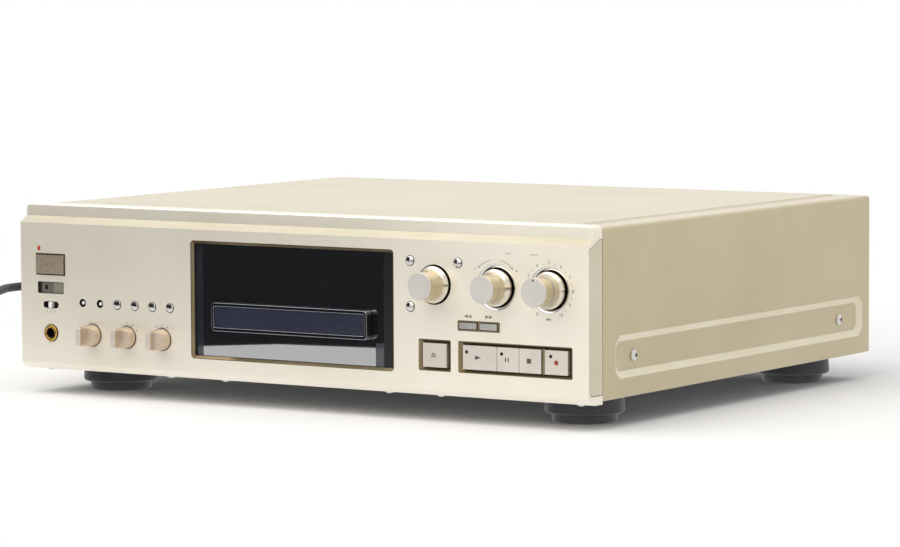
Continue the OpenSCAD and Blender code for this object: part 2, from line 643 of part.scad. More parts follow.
module feet() color("#2d2d32") seat() for (f = feet_at) translate([f[0], f[1], 0]) rotate_extrude()
    polygon(concat([[5, 0], [sole_d / 2 - 0.8, 0], [sole_d / 2, 0.8], [sole_d / 2, sole_h]],
        [[foot_d / 2 - 2, sole_h]], arc([foot_d / 2 - 1.5, sole_h + 1.5], 1.5, -70, 0, 3),
        [[foot_d / 2 - 0.6, floor_z - 0.6], [foot_d / 2 - 1.2, floor_z]], [[foot_hole_r, floor_z], [foot_hole_r, foot_seat], [5, foot_seat]]));

// A pan-head screw at the origin, its head along +Z
module pan_screw(head_d, head_h, shank_d, shank_l) {
    intersection() {
        cylinder(d = head_d, h = head_h);
        translate([0, 0, head_h - head_d * 0.75]) sphere(r = head_d * 0.75);
    }
    translate([0, 0, -shank_l]) cylinder(d = shank_d, h = shank_l);
}

module case_screws() color("#b9b9b9") seat() {
    for (s = [-1, 1], f = [0, 1]) translate([s * (wall_x - recess_d), feet_at[f][1], recess_z - 0.5])
        rotate([0, s * 90, 0]) pan_screw(7.3, 2.2, screw_d, sheet_t + gap + sheet_t + 1.5);
    for (x = lip_screws) translate([x, lip_screw_y, lip_z]) rotate([180, 0, 0])
        pan_screw(5.6, 1.4, lip_screw_d, rail_h + 2.4);
    for (x = lid_screw_x) translate([x, case_d, lid_screw_z]) rotate([-90, 0, 0])
        pan_screw(6, 1.8, screw_d, 2 * sheet_t + 2.5);
    for (f = feet_at) translate([f[0], f[1], foot_seat]) rotate([180, 0, 0])
        pan_screw(7.6, 2.4, foot_screw_d, floor_top - foot_seat + 1);
}

// ---- inside ----
module transformer() color("#6b4a2e") seat() translate([trafo_at[0], trafo_at[1], 0]) {
    block([-38, 38], [-18, 18], [floor_top + 1.5, floor_top + 60]);
    for (s = [-1, 1]) block([-22, 22], [s > 0 ? 18 : -32, s > 0 ? 32 : -18], [floor_top + 12, floor_top + 49]);
    block([-46, 46], [-18, 18], [floor_top, floor_top + 1.5]);
}

module board(b) difference() {
    block([b[0], b[0] + b[2]], [b[1], b[1] + b[3]], [board_z, board_z + board_t]);
    for (x = [8, b[2] - 8], y = [8, b[3] - 8]) rod_z(b[0] + x, b[1] + y, 3, board_z - 1, board_z + 3);
}

module power_board() color("#3f5b3a") seat() {
    top = board_z + board_t;
    board(power_board);
    translate([power_board[0], power_board[1], 0]) {
        for (i = [0:3]) rod_z(22 + 24 * i, 20, 18, top, top + 30);
        for (i = [0:2]) rod_z(18 + 15 * i, 46, 10, top, top + 16);
        block([68, 112], [40, 46], [top, top + 34]);
        for (i = [0:5]) block([68 + 8 * i, 70.4 + 8 * i], [46, 62], [top, top + 34]);
        if (power_board[3] > 86) block([8, 40], [64, 84], [top, top + 20]);
    }
}

module main_board() color("#3d6440") seat() {
    top = board_z + board_t;
    board(main_board);
    translate([main_board[0], main_board[1], 0]) {
        for (p = [[44, 38, 24], [104, 38, 20], [154, 48, 28], [104, 98, 16], [214, 58, 16]])
            block([p[0], p[0] + p[2]], [p[1], p[1] + p[2]], [top, top + 2.6]);
        for (i = [0:5]) rod_z(94 + 22 * i, 148, 12.5, top, top + 22);
        for (i = [0:5]) rod_z(94 + 22 * i, 124, 8, top, top + 12);
        block([14, 54], [88, 148], [top, top + 14]);
        block([204, 240], [98, 110], [top, top + 12]);
    }
}

module pot(x, z, d, wall) difference() {
    union() {
        block([x - 7, x + 7], [pot_y, board_y], [z - 7, z + 7]);
        rod_y(x, z, d + 2 * wall, bush_y, pot_y);
    }
    rod_y(x, z, d + 2 * run, bush_y - 1, board_y - 2.5);
}

module control_boards() color("#3c5a44") seat() {
    block([-sub_x, win_left - 7], [board_y, board_y + board_t], [28, slant_z - 2.1]);
    block([win_right + 8.5, sub_x], [board_y, board_y + board_t], [24, slant_z - 2.1]);
    for (i = [0:5]) key_switch(row_x + i * row_pitch, row_z);
    for (p = [menu_at, yes_at, clear_at]) key_switch(p[0], p[1]);
    for (s = [-1, 1]) key_switch(search_at[0] + s * search_dx, search_at[1]);
    for (x = [eject_x, play_x, pause_x, stop_x, rec_x]) key_switch(x, deck_key_z);
    key_switch(left_x, power_z);
    block([left_x - 7, left_x + 7], [switch_y, board_y], [timer_z - 3.2, timer_z + 3.2]);
    for (i = [0:2]) pot(bar_knob_x + i * bar_knob_pitch, bar_knob_z, shaft_d, 1.5);
    for (x = [jog_x, digital_x]) pot(x, knob_z, shaft_d, 1.5);
    pot(level_x, knob_z, shaft_d + 2, 1.5);
    translate([led_at[0], 0, led_at[1]]) slab(0, board_y) rrect(led_size[0], led_size[1], 0.3);
}
module key_switch(x, z) block([x - 3.1, x + 3.1], [switch_y, board_y], [z - 3.1, z + 3.1]);

module rear_jacks() color("#d8d8d2") seat() {
    y0 = rear_y - sheet_t - 14;
    top = board_z + board_t;
    difference() {
        union() {
            block([phono_at[0][0] - 8, phono_at[4][0] + 8], [y0, rear_y - sheet_t], [top, phono_at[0][1] + 8]);
            for (p = phono_at) {
                rod_y(p[0], p[1], phono_d - 0.5, y0, rear_y + 1);
                rod_y(p[0], p[1], phono_d + 2.7, rear_y, rear_y + 1);
                rod_y(p[0], p[1], phono_d, rear_y + 1, rear_y + phono_l);
            }
        }
        for (p = phono_at) rod_y(p[0], p[1], 3.2, rear_y - 2, rear_y + phono_l + 1);
    }
    for (x = optical_x) difference() {
        block([x - 7, x + 7], [y0, rear_y - sheet_t], [top, optical_z + 8]);
        translate([x, 0, optical_z]) slab(rear_y - 11, rear_y + 1) square([8.6, 7.6], center = true);
    }
}

// ---- tray drive ----
function unwind(r, t) = r * [cos(t) + t * PI / 180 * sin(t), sin(t) - t * PI / 180 * cos(t)];
function spin(p, a) = [p[0] * cos(a) - p[1] * sin(a), p[0] * sin(a) + p[1] * cos(a)];
// A spur gear's outline: involute flanks at a 20 degree pressure angle, one tooth on +X when a0 is 0
function gear_points(m, n, a0) = let (
    r = m * n / 2, base = r * cos(20), tip = r + 0.8 * m, root = min(r - m, base),
    off = tan(20) * 180 / PI - 20, half = 90 / n - backlash / (2 * r) * 180 / PI / 2,
    end = tan(acos(base / tip)) * 180 / PI)
    [for (k = [0:n - 1], p = [[root, 0, -1], [0, 0, -1], [0, 0.5, -1], [0, 1, -1], [0, 1, 1], [0, 0.5, 1],
        [0, 0, 1], [root, 0, 1]]) let (
        t = p[1] * end, q = unwind(base, t), a = half + off,
        flank = p[0] > 0 ? [root * cos(a), root * sin(a)] : spin([q[0], -q[1]], a))
        spin([flank[0], p[2] * flank[1]], a0 + k * 360 / n)];
module gear(m, n, a0, t) linear_extrude(t) polygon(gear_points(m, n, a0));

module rack_teeth() for (k = [-4:floor((block_d + tray_l - 5 - axle_at[1]) / PI / rack_m - 1)]) {
    y = axle_at[1] + (k + 0.5) * PI * rack_m;
    w = PI * rack_m / 2 - backlash / 2;
    lean = tan(20) * rack_m;
    translate([0, y, rack_z]) linear_extrude(carrier_z + 3 - rack_z) polygon([
        [rack_pitch_x + rack_m + 0.5, -w / 2 - lean], [rack_pitch_x - 0.8 * rack_m, -w / 2 + 0.8 * lean],
        [rack_pitch_x - 0.8 * rack_m, w / 2 - 0.8 * lean], [rack_pitch_x + rack_m + 0.5, w / 2 + lean]]);
}

module tray() color("#26272c") seat() translate([win_x, 0, 0]) {
    y1 = block_d + tray_l;
    difference() {
        union() {
            block([-tray_w / 2, tray_w / 2], [block_d, y1], [carrier_z, carrier_z + tray_h]);
            block([-carrier_x, carrier_x], [block_d + 3, y1], [carrier_z + 4, carrier_z + 7]);
        }
        block([-pocket_w / 2, pocket_w / 2], [pocket_y, pocket_y + pocket_l], [pocket_z, carrier_z + tray_h + 1]);
        block([3 - tray_w / 2, tray_w / 2 - 3], [block_d + 3, y1 - 3], [carrier_z - 1, pocket_z - skin]);
        block([-24, 24], [disc_y - 13, disc_y + 42], [carrier_z - 1, pocket_z + 1]);
        block([6 - tray_w / 2, rack_pitch_x - 3], [pocket_y + pocket_l + 5, y1 - 4],
            [carrier_z - 1, carrier_z + tray_h + 1]);
        for (y = [pocket_y, pocket_y + pocket_l]) rod_z(0, y, 22, pocket_z, carrier_z + tray_h + 1);
    }
    block([rack_pitch_x + rack_m, rack_back_x], [block_d + 7.1, y1 - 4], [rack_z, pocket_z - skin]);
    rack_teeth();
}

module tray_front() color("#1b1c20") seat() translate([win_x, 0, tray_z]) difference() {
    slab(-tray_proud, block_d) rrect(tray_front_w, tray_front_h, 2.6);
    slab(-1 - tray_proud, 1.6 - tray_proud) rrect(tray_front_w - 4, tray_front_h - 4.9, 0.8);
}

module tray_inset() color("#26283a") seat() translate([win_x, 0, tray_z])
    slab(0.5 - tray_proud, 1.6 - tray_proud) rrect(tray_front_w - 4.3, tray_front_h - 5.2, 0.7);

module loading_gear() color("#d7d3c6") seat() translate([win_x + axle_at[0], axle_at[1], 0]) difference() {
    union() {
        translate([0, 0, gear_z]) gear(gear_m, gear_n, 180 / gear_n + (gear_n % 2) * 180 / gear_n, gear_t);
        cylinder_between(11, gear_z + gear_t, rack_z + 0.4);
        translate([0, 0, rack_z + 0.4]) gear(rack_m, pinion_n, 0, 4);
    }
    cylinder_between(axle_d + 2 * run, gear_z - 1, rack_z + 6);
}
module cylinder_between(d, z0, z1) translate([0, 0, z0]) cylinder(d = d, h = z1 - z0);

module motor_gear() color("#e6e2d4") seat() translate([win_x + motor_at[0], motor_at[1], 0]) difference() {
    translate([0, 0, gear_z]) gear(gear_m, motor_n, 0, gear_t);
    cylinder_between(2 + 2 * run, gear_z - 1, gear_z + gear_t + 1);
}

module loading_motor() color("#a7a9ab") seat() translate([win_x + motor_at[0], motor_at[1], 0]) {
    cylinder_between(19, mech_z - mech_t - 13, mech_z - mech_t);
    cylinder_between(2, mech_z - mech_t - 1, gear_z + gear_t);
    cylinder_between(6, mech_z - mech_t - 14, mech_z - mech_t - 13);
}

module mech_frame() color("#8b8d90") seat() translate([win_x, 0, 0]) {
    top = carrier_z + tray_h + 5;
    difference() {
        union() {
            block([-mech_x, mech_x], [mech_y0, mech_y1], [mech_z - mech_t, mech_z]);
            for (s = [-1, 1]) block([s > 0 ? tray_w / 2 + rail_gap : -mech_x, s > 0 ? mech_x : -tray_w / 2 - rail_gap],
                [mech_y0, mech_y1], [mech_z, top]);
            for (y = [[mech_y0 + 20, mech_y0 + 32], [mech_y1 - 14, mech_y1]])
                block([-mech_x, mech_x], y, [top - 2.5, top]);
            for (x = [-1, 1], y = [mech_y0 + 10, mech_y1 - 8])
                rod_z(x * (mech_x - 8), y, 9, floor_top, mech_z - mech_t);
            rod_z(axle_at[0], axle_at[1], axle_d + 3, mech_z, gear_z - gap);
            for (x = [-1, 1], y = [1, 2]) rod_z(x * post_at[0], post_at[y], post_d + 2, mech_z, deck_z - gap);
        }
        for (s = [-1, 1]) block([s > 0 ? tray_w / 2 : -carrier_x - rail_gap, s > 0 ? carrier_x + rail_gap : -tray_w / 2],
            [mech_y0 - 1, mech_y1 - 4], [carrier_z + 4 - gap, carrier_z + 7 + gap]);
        rod_z(motor_at[0], motor_at[1], 5, mech_z - mech_t - 1, mech_z + 1);
        block([-20, 20], [disc_y + 14, disc_y + 50], [mech_z - mech_t - 1, mech_z + 1]);
    }
    rod_z(axle_at[0], axle_at[1], axle_d, mech_z, rack_z + 4.8);
    for (x = [-1, 1], y = [1, 2]) rod_z(x * post_at[0], post_at[y], post_d, deck_z - 2, deck_z + deck_t + lift + 2.6);
}

// ---- disc drive ----
module traverse() color("#9a9c9f") seat() translate([win_x, 0, 0]) {
    top = deck_z + deck_t;
    difference() {
        union() {
            block([-deck_x, deck_x], deck_y, [deck_z, top]);
            rod_z(0, disc_y, 22, deck_z - 4.5, deck_z);
            for (y = [disc_y + 4.5, deck_y[1] - 4]) block([-rod_x - 4, rod_x + 4], [y, y + 2.5], [top, rod_z + 2.6]);
            rod_y(screw_x, rod_z, 10, motor_y, motor_y + 11);
        }
        for (x = [-1, 1], y = [1, 2]) rod_z(x * post_at[0], post_at[y], post_d + 2 * run + 0.1, deck_z - 1, top + 1);
        rod_z(0, disc_y, 2 + 2 * run, deck_z - 3.5, top + 1);
        rod_y(screw_x, rod_z, rod_d + 2 * run, disc_y, motor_y + 6);
        block([-16, 16], [sled_y + 1, sled_y + sled_l + sled_travel - 1], [deck_z - 1, top + 1]);
    }
    for (x = [-1, 1]) rod_y(x * rod_x, rod_z, rod_d, disc_y + 4.5, deck_y[1] - 1.5);
}

module turntable() color("#d0d1d3") seat() translate([win_x, disc_y, 0]) {
    cylinder_between(2, deck_z - 3, carrier_z - 3);
    cylinder_between(18, carrier_z - 3, carrier_z - 1.6);
    cylinder_between(7.8, carrier_z - 1.6, carrier_z - 0.5);
}

module optical_sled() color("#3a3b40") seat() translate([win_x, 0, 0]) {
    difference() {
        block([-sled_x, sled_x], [sled_y, sled_y + sled_l], [deck_z + deck_t + 1, rod_z + 3]);
        for (x = [-1, 1]) rod_y(x * rod_x, rod_z, rod_d + 2 * run, sled_y - 1, sled_y + sled_l + 1);
        rod_y(screw_x, rod_z, rod_d + 4 * run, sled_y - 1, sled_y + sled_l + 1);
    }
    rod_z(0, sled_y + 7, 7, rod_z + 3, rod_z + 5);
}

module lead_screw() color("#c4c6c8") seat() translate([win_x, 0, 0])
    rod_y(screw_x, rod_z, rod_d, disc_y + 4.5, motor_y + 5.5);

// ---- keys ----
// A key with a rectangular cap, a flange behind the panel and a stem to its switch
module square_key(x, z, w, h, out, travel, stem, back) translate([x, 0, z]) {
    slab(-out, back) rrect(w, h, 0.5);
    slab(back, back + 1.2) rrect(w, h + 3, 0.5);
    rod_y(0, 0, stem, back + 1.2, switch_y - gap - travel);
}
module round_key(p) {
    y = -1;
    intersection() {
        rod_y(p[0], p[1], round_d - 2 * key_gap, y, face_t + gap);
        translate([p[0], y + 6, p[1]]) sphere(r = 6);
    }
    rod_y(p[0], p[1], round_d + 1.6, face_t + gap, face_t + gap + 1.2);
    rod_y(p[0], p[1], stem_d, face_t + gap + 1.2, switch_y - gap - key_travel);
}
module sunk_key(p) {
    rod_y(p[0], p[1], 2.2, 0.4, face_t + gap);
    rod_y(p[0], p[1], sunk_d + 1.6, face_t + gap, face_t + gap + 1.2);
    rod_y(p[0], p[1], stem_d, face_t + gap + 1.2, switch_y - gap - key_travel);
}
module row_key(i) seat() if (i < 2) color("#e8e6df") sunk_key([row_x + i * row_pitch, row_z]);
    else color("#c9c7c2") round_key([row_x + i * row_pitch, row_z]);
module face_key(p) color("#c9c7c2") seat() round_key(p);
module deck_key(x, w) color("#cdbfb2") seat()
    square_key(x, deck_key_z, w, inner_h - 2 * key_gap, 0, key_travel, stem_d, 5);
module search_key(s) color("#cfcac3") seat() square_key(search_at[0] + s * search_dx, search_at[1],
    search_key_w, search_h - 1.6 - 2 * key_gap, 0.6, key_travel, stem_d, 5);

module power_key() color("#c2b19d") seat() square_key(left_x, power_z, power_w - 2 * power_gap,
    power_h - 2 * power_gap, 1.4, power_travel, 5, face_t + gap);

module timer_slider() color("#e9e7e0") seat() translate([left_x, 0, timer_z]) {
    slab(-1, face_t + gap) rrect(2.6, timer_h - 2 * gap, 0.5);
    slab(face_t + gap, face_t + gap + 1) square([timer_w + 2 * timer_step + 1, timer_h + 2], center = true);
    slab(face_t + gap + 1, switch_y - gap) square([2, 2.2], center = true);
}

// ---- knobs ----
module bar_knob(i) color("#cbb9a6") seat() {
    x = bar_knob_x + i * bar_knob_pitch;
    hollow_r = bar_knob_l - 1;
    difference() {
        spun(x, bar_knob_z) polygon([[0, -bar_knob_l], [bar_knob_d * 0.39, -bar_knob_l],
            [bar_knob_d * 0.405, 0.5 - bar_knob_l], [bar_knob_d / 2, -2.5], [bar_knob_d / 2, face_t - 0.3],
            [0, face_t - 0.3]]);
        for (s = [-1, 1]) translate([x + s * (grip_w / 2 + hollow_r), -bar_knob_l - 1, bar_knob_z - bar_knob_d])
            rotate([0, 0, 90]) cylinder(r = hollow_r, h = 2 * bar_knob_d);
    }
    rod_y(x, bar_knob_z, shaft_d, face_t - 0.3, board_y - 3.5);
}
// Half outline of a large knob: a straight front, then a flare out to the panel
function knob_outline(front_r, base_r, l, neck_y) = concat([[0, -l], [front_r - 0.3, -l], [front_r, 0.3 - l]],
    [[front_r, neck_y]], bend([front_r, neck_y], [front_r + 0.3, -3.2], [base_r - 0.4, -2.2], 5),
    [[base_r, -1.8], [base_r, 1.2], [0, 1.2]]);

module jog_shaft() color("#9fa1a4") seat() rod_y(jog_x, knob_z, shaft_d, -6, board_y - 4.1);
module jog_knob() color("#c9c7c4") seat() difference() {
    spun(jog_x, knob_z) polygon(knob_outline(knob_front_d / 2, knob_d / 2, knob_l, -8.5));
    rod_y(jog_x, knob_z, shaft_d + 2 * run, -6 - gap, 2);
}
module digital_knob() color("#c9c7c4") seat() {
    spun(digital_x, knob_z) polygon(knob_outline(knob_front_d / 2, knob_d / 2, knob_l, -8.5));
    rod_y(digital_x, knob_z, shaft_d, 1.2, board_y - 3.5);
}
// The level control is two knobs on one axis: the front one turns inside the sleeve of the rear one
module level_knob() color("#c9c7c4") seat() {
    r = knob_front_d / 2 + 0.4;
    split = 9.4 - level_l;
    spun(level_x, knob_z) polygon([[0, -level_l], [r - 0.3, -level_l], [r, 0.3 - level_l], [r, split], [0, split]]);
    rod_y(level_x, knob_z, shaft_d - 2, split, board_y - 3.5);
}
module balance_knob() color("#c4c2be") seat() difference() {
    split = 9.4 - level_l + gap;
    union() {
        spun(level_x, knob_z) polygon(concat([[0, split], [knob_front_d / 2 + 0.9, split]],
            bend([knob_front_d / 2 + 1.2, -4.6], [knob_front_d / 2 + 1.4, -2.8], [knob_d / 2 - 0.4, -2.2], 4),
            [[knob_d / 2, -1.8], [knob_d / 2, 1.2], [0, 1.2]]));
        rod_y(level_x, knob_z, shaft_d + 2, 1.2, board_y - 5);
    }
    rod_y(level_x, knob_z, shaft_d - 2 + 2 * run, split - 1, board_y);
}

// ---- mains lead ----
module strain_relief() color("#1c1c1e") translate([relief_at[0], face_y + rear_y, relief_at[1]])
    rotate([-90, 0, 0]) {
        cylinder(d = cord_d + 9, h = 2);
        translate([0, 0, -sheet_t]) cylinder(d = cord_d + 6, h = sheet_t);
        translate([0, 0, -sheet_t - 2]) cylinder(d = cord_d + 9, h = 2);
        translate([0, 0, 2]) cylinder(d1 = cord_d + 6, d2 = cord_d + 1.6, h = relief_l - 2);
    }

// A tube of n sides swept along points, level sections kept upright
function heading(p, i) = let (a = p[max(i - 1, 0)], b = p[min(i + 1, len(p) - 1)]) (b - a) / norm(b - a);
function ring(p, i, n, r) = let (d = heading(p, i), side = cross(d, [0, 0, 1]) / norm(cross(d, [0, 0, 1])),
    up = cross(side, d), q = r / cos(180 / n)) [for (k = [0:n - 1]) let (a = (k + 0.5) * 360 / n)
    p[i] + q * (cos(a) * side + sin(a) * up)];
module tube(p, n, r) {
    last = len(p) - 1;
    polyhedron([for (i = [0:last]) each ring(p, i, n, r)], concat([[for (k = [0:n - 1]) k]],
        [for (i = [0:last - 1], k = [0:n - 1]) let (a = i * n + k, b = i * n + (k + 1) % n) each
            [[a, a + n, b], [b, a + n, b + n]]], [[for (k = [n - 1:-1:0]) last * n + k]]));
}
module cord_lead() color("#28282a") tube(lead_points, 8, cord_d / 2 * cos(22.5));

// Turn t of the coil, clockwise from above: in for half the turns, up a layer, and out again
function coil_point(t) = let (half = coil_turns / 2, s = t < half ? t : coil_turns - t,
    rise = min(1, max(0, (t - half + 0.25) / 0.5)), r = coil_r - coil_step * s, a = -360 * t)
    [coil_at[0] + r * cos(a), coil_at[1] + r * sin(a), lead_z + coil_step * rise];
coil_points = concat([for (y = [0, -cord_d]) [coil_at[0] + coil_r, lead_points[28][1] + y, lead_z]],
    [for (i = [0:coil_turns * coil_rings]) coil_point(i / coil_rings)],
    [for (y = [coil_tail - cord_d, coil_tail]) [coil_at[0] + coil_r, coil_at[1] - y, lead_z + coil_step]]);
module cord_coil() color("#28282a") tube(coil_points, 6, cord_d / 2 * cos(30));
coil_gap = min([for (i = [0:len(coil_points) - 1], j = [0:len(coil_points) - 1])
    if (j - i > coil_rings / 2) norm(coil_points[i] - coil_points[j])]) - cord_d;
function run_length(p) = len(p) < 2 ? 0 : [for (i = 1, n = norm(p[1] - p[0]); i < len(p); i = i + 1,
    n = i < len(p) ? n + norm(p[i] - p[i - 1]) : n) n][len(p) - 2];
echo(coil_gap = coil_gap, lead_length = run_length(lead_points), coil_length = run_length(coil_points));

module plug() color("#1c1c1e") translate([coil_at[0] + coil_r, coil_at[1] - coil_tail, lead_z + coil_step]) {
    body_r = lead_z + coil_step;
    rotate([90, 0, 0]) {
        cylinder(d1 = cord_d + 2, d2 = cord_d + 6, h = 12);
        translate([0, 0, 12]) linear_extrude(24) rrect(26, 2 * body_r - 4, 4);
        for (s = [-1, 1]) translate([s * 6.35, 0, 36]) linear_extrude(17) square([1.5, 6.3], center = true);
    }
}

bottom_chassis();
rear_panel();
top_cover();
front_panel();
end_caps();
front_subframe();
window_bezel();
window_glass();
display_module();
key_surrounds();
ir_window();
phones_jack();
feet();
case_screws();
transformer();
power_board();
main_board();
control_boards();
mech_frame();
loading_motor();
rear_jacks();
strain_relief();
cord_lead();
cord_coil();
plug();
tray();
tray_front();
tray_inset();
loading_gear();
motor_gear();
traverse();
turntable();
optical_sled();
lead_screw();
power_key();
row_key(0);  // row_key_1
row_key(1);  // row_key_2
row_key(2);  // row_key_3
row_key(3);  // row_key_4
row_key(4);  // row_key_5
row_key(5);  // row_key_6
face_key(menu_at);  // menu_key
face_key(yes_at);  // yes_key
face_key(clear_at);  // clear_key
search_key(-1);  // search_back_key
search_key(1);  // search_forward_key
deck_key(eject_x, eject_inner_w - 2 * key_gap);  // eject_key
deck_key(play_x, play_w);  // play_key
deck_key(pause_x, stop_w);  // pause_key
deck_key(stop_x, stop_w);  // stop_key
deck_key(rec_x, rec_w);  // record_key
timer_slider();
bar_knob(0);  // phones_knob
bar_knob(1);  // input_knob
bar_knob(2);  // mode_knob
jog_shaft();
jog_knob();
digital_knob();
level_knob();
balance_knob();
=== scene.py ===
import json
from math import cos, hypot, pi, radians, sin

import bmesh
import bpy
from mathutils import Matrix, Vector


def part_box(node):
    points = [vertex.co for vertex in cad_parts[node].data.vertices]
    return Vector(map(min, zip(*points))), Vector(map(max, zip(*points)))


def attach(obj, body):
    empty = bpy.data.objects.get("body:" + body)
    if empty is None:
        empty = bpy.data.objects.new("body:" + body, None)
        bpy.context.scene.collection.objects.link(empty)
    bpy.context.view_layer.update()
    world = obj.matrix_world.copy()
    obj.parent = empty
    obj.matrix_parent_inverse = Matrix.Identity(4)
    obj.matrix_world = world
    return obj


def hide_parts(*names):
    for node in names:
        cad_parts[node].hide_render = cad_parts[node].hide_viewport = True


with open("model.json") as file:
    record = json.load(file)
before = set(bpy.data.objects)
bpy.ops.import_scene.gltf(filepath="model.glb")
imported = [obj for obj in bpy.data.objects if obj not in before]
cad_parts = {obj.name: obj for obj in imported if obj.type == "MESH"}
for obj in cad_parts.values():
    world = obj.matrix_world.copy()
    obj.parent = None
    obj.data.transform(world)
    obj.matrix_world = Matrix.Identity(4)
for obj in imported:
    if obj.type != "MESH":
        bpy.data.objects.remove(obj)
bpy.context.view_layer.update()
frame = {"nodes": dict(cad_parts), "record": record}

mm = 0.001
nodeBody = {node: body for body, nodes in frame["record"]["behaviour"]["bodies"].items() for node in nodes}
nodeSlot = {part["node"]: part["material_slot"] for part in frame["record"]["subparts"]}
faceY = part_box("front_panel")[0][1] / mm  # the panel's front face, in mm: places are given from it


# A point of the deck in metres, from millimetres across, behind the face and above the table
def at(x, y, z):
    return Vector((x * mm, (y + faceY) * mm, z * mm))


# The middle of a CAD node, across and up, in millimetres
def middle(node):
    low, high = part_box(node)
    return (low[0] + high[0]) / 2 / mm, (low[2] + high[2]) / 2 / mm


camera = {
    "place": (1.468109, -2.222069, 0.295288),
    "yaw": 0.582804,
    "pitch": 0.0829278,
    "roll": -0.00482296,
    "lens": 163.398,
    "sensor": 36,
}


def makeCamera():
    yaw, pitch, roll = camera["yaw"], camera["pitch"], camera["roll"]
    forward = Vector((-sin(yaw) * cos(pitch), cos(yaw) * cos(pitch), -sin(pitch)))
    right = Vector((cos(yaw), sin(yaw), 0))
    up = right.cross(forward)
    side = right * cos(roll) + up * sin(roll)
    top = up * cos(roll) - right * sin(roll)
    data = bpy.data.cameras.new("camera")
    data.lens = camera["lens"]
    data.sensor_width = camera["sensor"]
    data.sensor_fit = "HORIZONTAL"
    data.clip_start = 0.01
    eye = bpy.data.objects.new("camera", data)
    turn = Matrix((side, top, -forward)).transposed().to_4x4()
    eye.matrix_world = Matrix.Translation(camera["place"]) @ turn
    bpy.context.scene.collection.objects.link(eye)
    bpy.context.scene.camera = eye


makeCamera()
bpy.context.scene.view_settings.view_transform = "Standard"
print("camera placed")


def linearColour(code):
    parts = [int(code[i:i + 2], 16) / 255 for i in (1, 3, 5)]
    return tuple(p / 12.92 if p <= 0.04045 else ((p + 0.055) / 1.055) ** 2.4 for p in parts) + (1,)


def addNode(tree, kind, inputs=None, links=None, **settings):
    node = tree.nodes.new("ShaderNode" + kind)
    for name, value in settings.items():
        setattr(node, name, value)
    for socket, value in (inputs or {}).items():
        node.inputs[socket].default_value = value
    for socket, source in (links or {}).items():
        tree.links.new(source, node.inputs[socket])
    return node


# A surface with a slow change of tone, a fine grain, roughness that follows the grain, and a shallow bump.
# Cloud, grain and bump are in millimetres. Blasting, flakes and plating are finer than the render can show,
# so their grain is drawn coarser than it is.
def makeFinish(name, light, dark, metal, rough, grain=0.8, cloud=45, speckle=0.06, bump=0.01, swing=0.04,
               stretch=(1, 1, 1), **constants):
    material = bpy.data.materials.new(name)
    material.use_nodes = True
    tree = material.node_tree
    shader = tree.nodes["Principled BSDF"]
    place = addNode(tree, "TexCoord").outputs["Object"]
    place = addNode(tree, "Mapping", {"Scale": stretch}, {"Vector": place}).outputs[0]
    slow = addNode(tree, "TexNoise", {"Scale": 1 / (cloud * mm), "Detail": 3}, {"Vector": place})
    fine = addNode(tree, "TexNoise", {"Scale": 1 / (grain * mm), "Detail": 2, "Roughness": 0.6},
                   {"Vector": place})
    tone = addNode(tree, "MapRange", {"From Min": 0.35, "From Max": 0.65}, {"Value": slow.outputs["Fac"]})
    colour = addNode(tree, "Mix", {"A": linearColour(light), "B": linearColour(dark)},
                     {"Factor": tone.outputs[0]}, data_type="RGBA")
    value = addNode(tree, "MapRange", {"From Min": 0.3, "From Max": 0.7, "To Min": 1 - speckle,
                                       "To Max": 1 + speckle}, {"Value": fine.outputs["Fac"]})
    shade = addNode(tree, "HueSaturation", {}, {"Value": value.outputs[0], "Color": colour.outputs["Result"]})
    tree.links.new(shade.outputs[0], shader.inputs["Base Color"])
    dull = addNode(tree, "MapRange", {"From Min": 0.3, "From Max": 0.7, "To Min": max(rough - swing, 0.02),
                                      "To Max": rough + swing}, {"Value": fine.outputs["Fac"]})
    tree.links.new(dull.outputs[0], shader.inputs["Roughness"])
    if bump:
        raised = addNode(tree, "Bump", {"Strength": 0.35, "Distance": bump * mm},
                         {"Height": fine.outputs["Fac"]})
        tree.links.new(raised.outputs[0], shader.inputs["Normal"])
    shader.inputs["Metallic"].default_value = metal
    for socket, number in constants.items():
        shader.inputs[socket].default_value = number
    return material


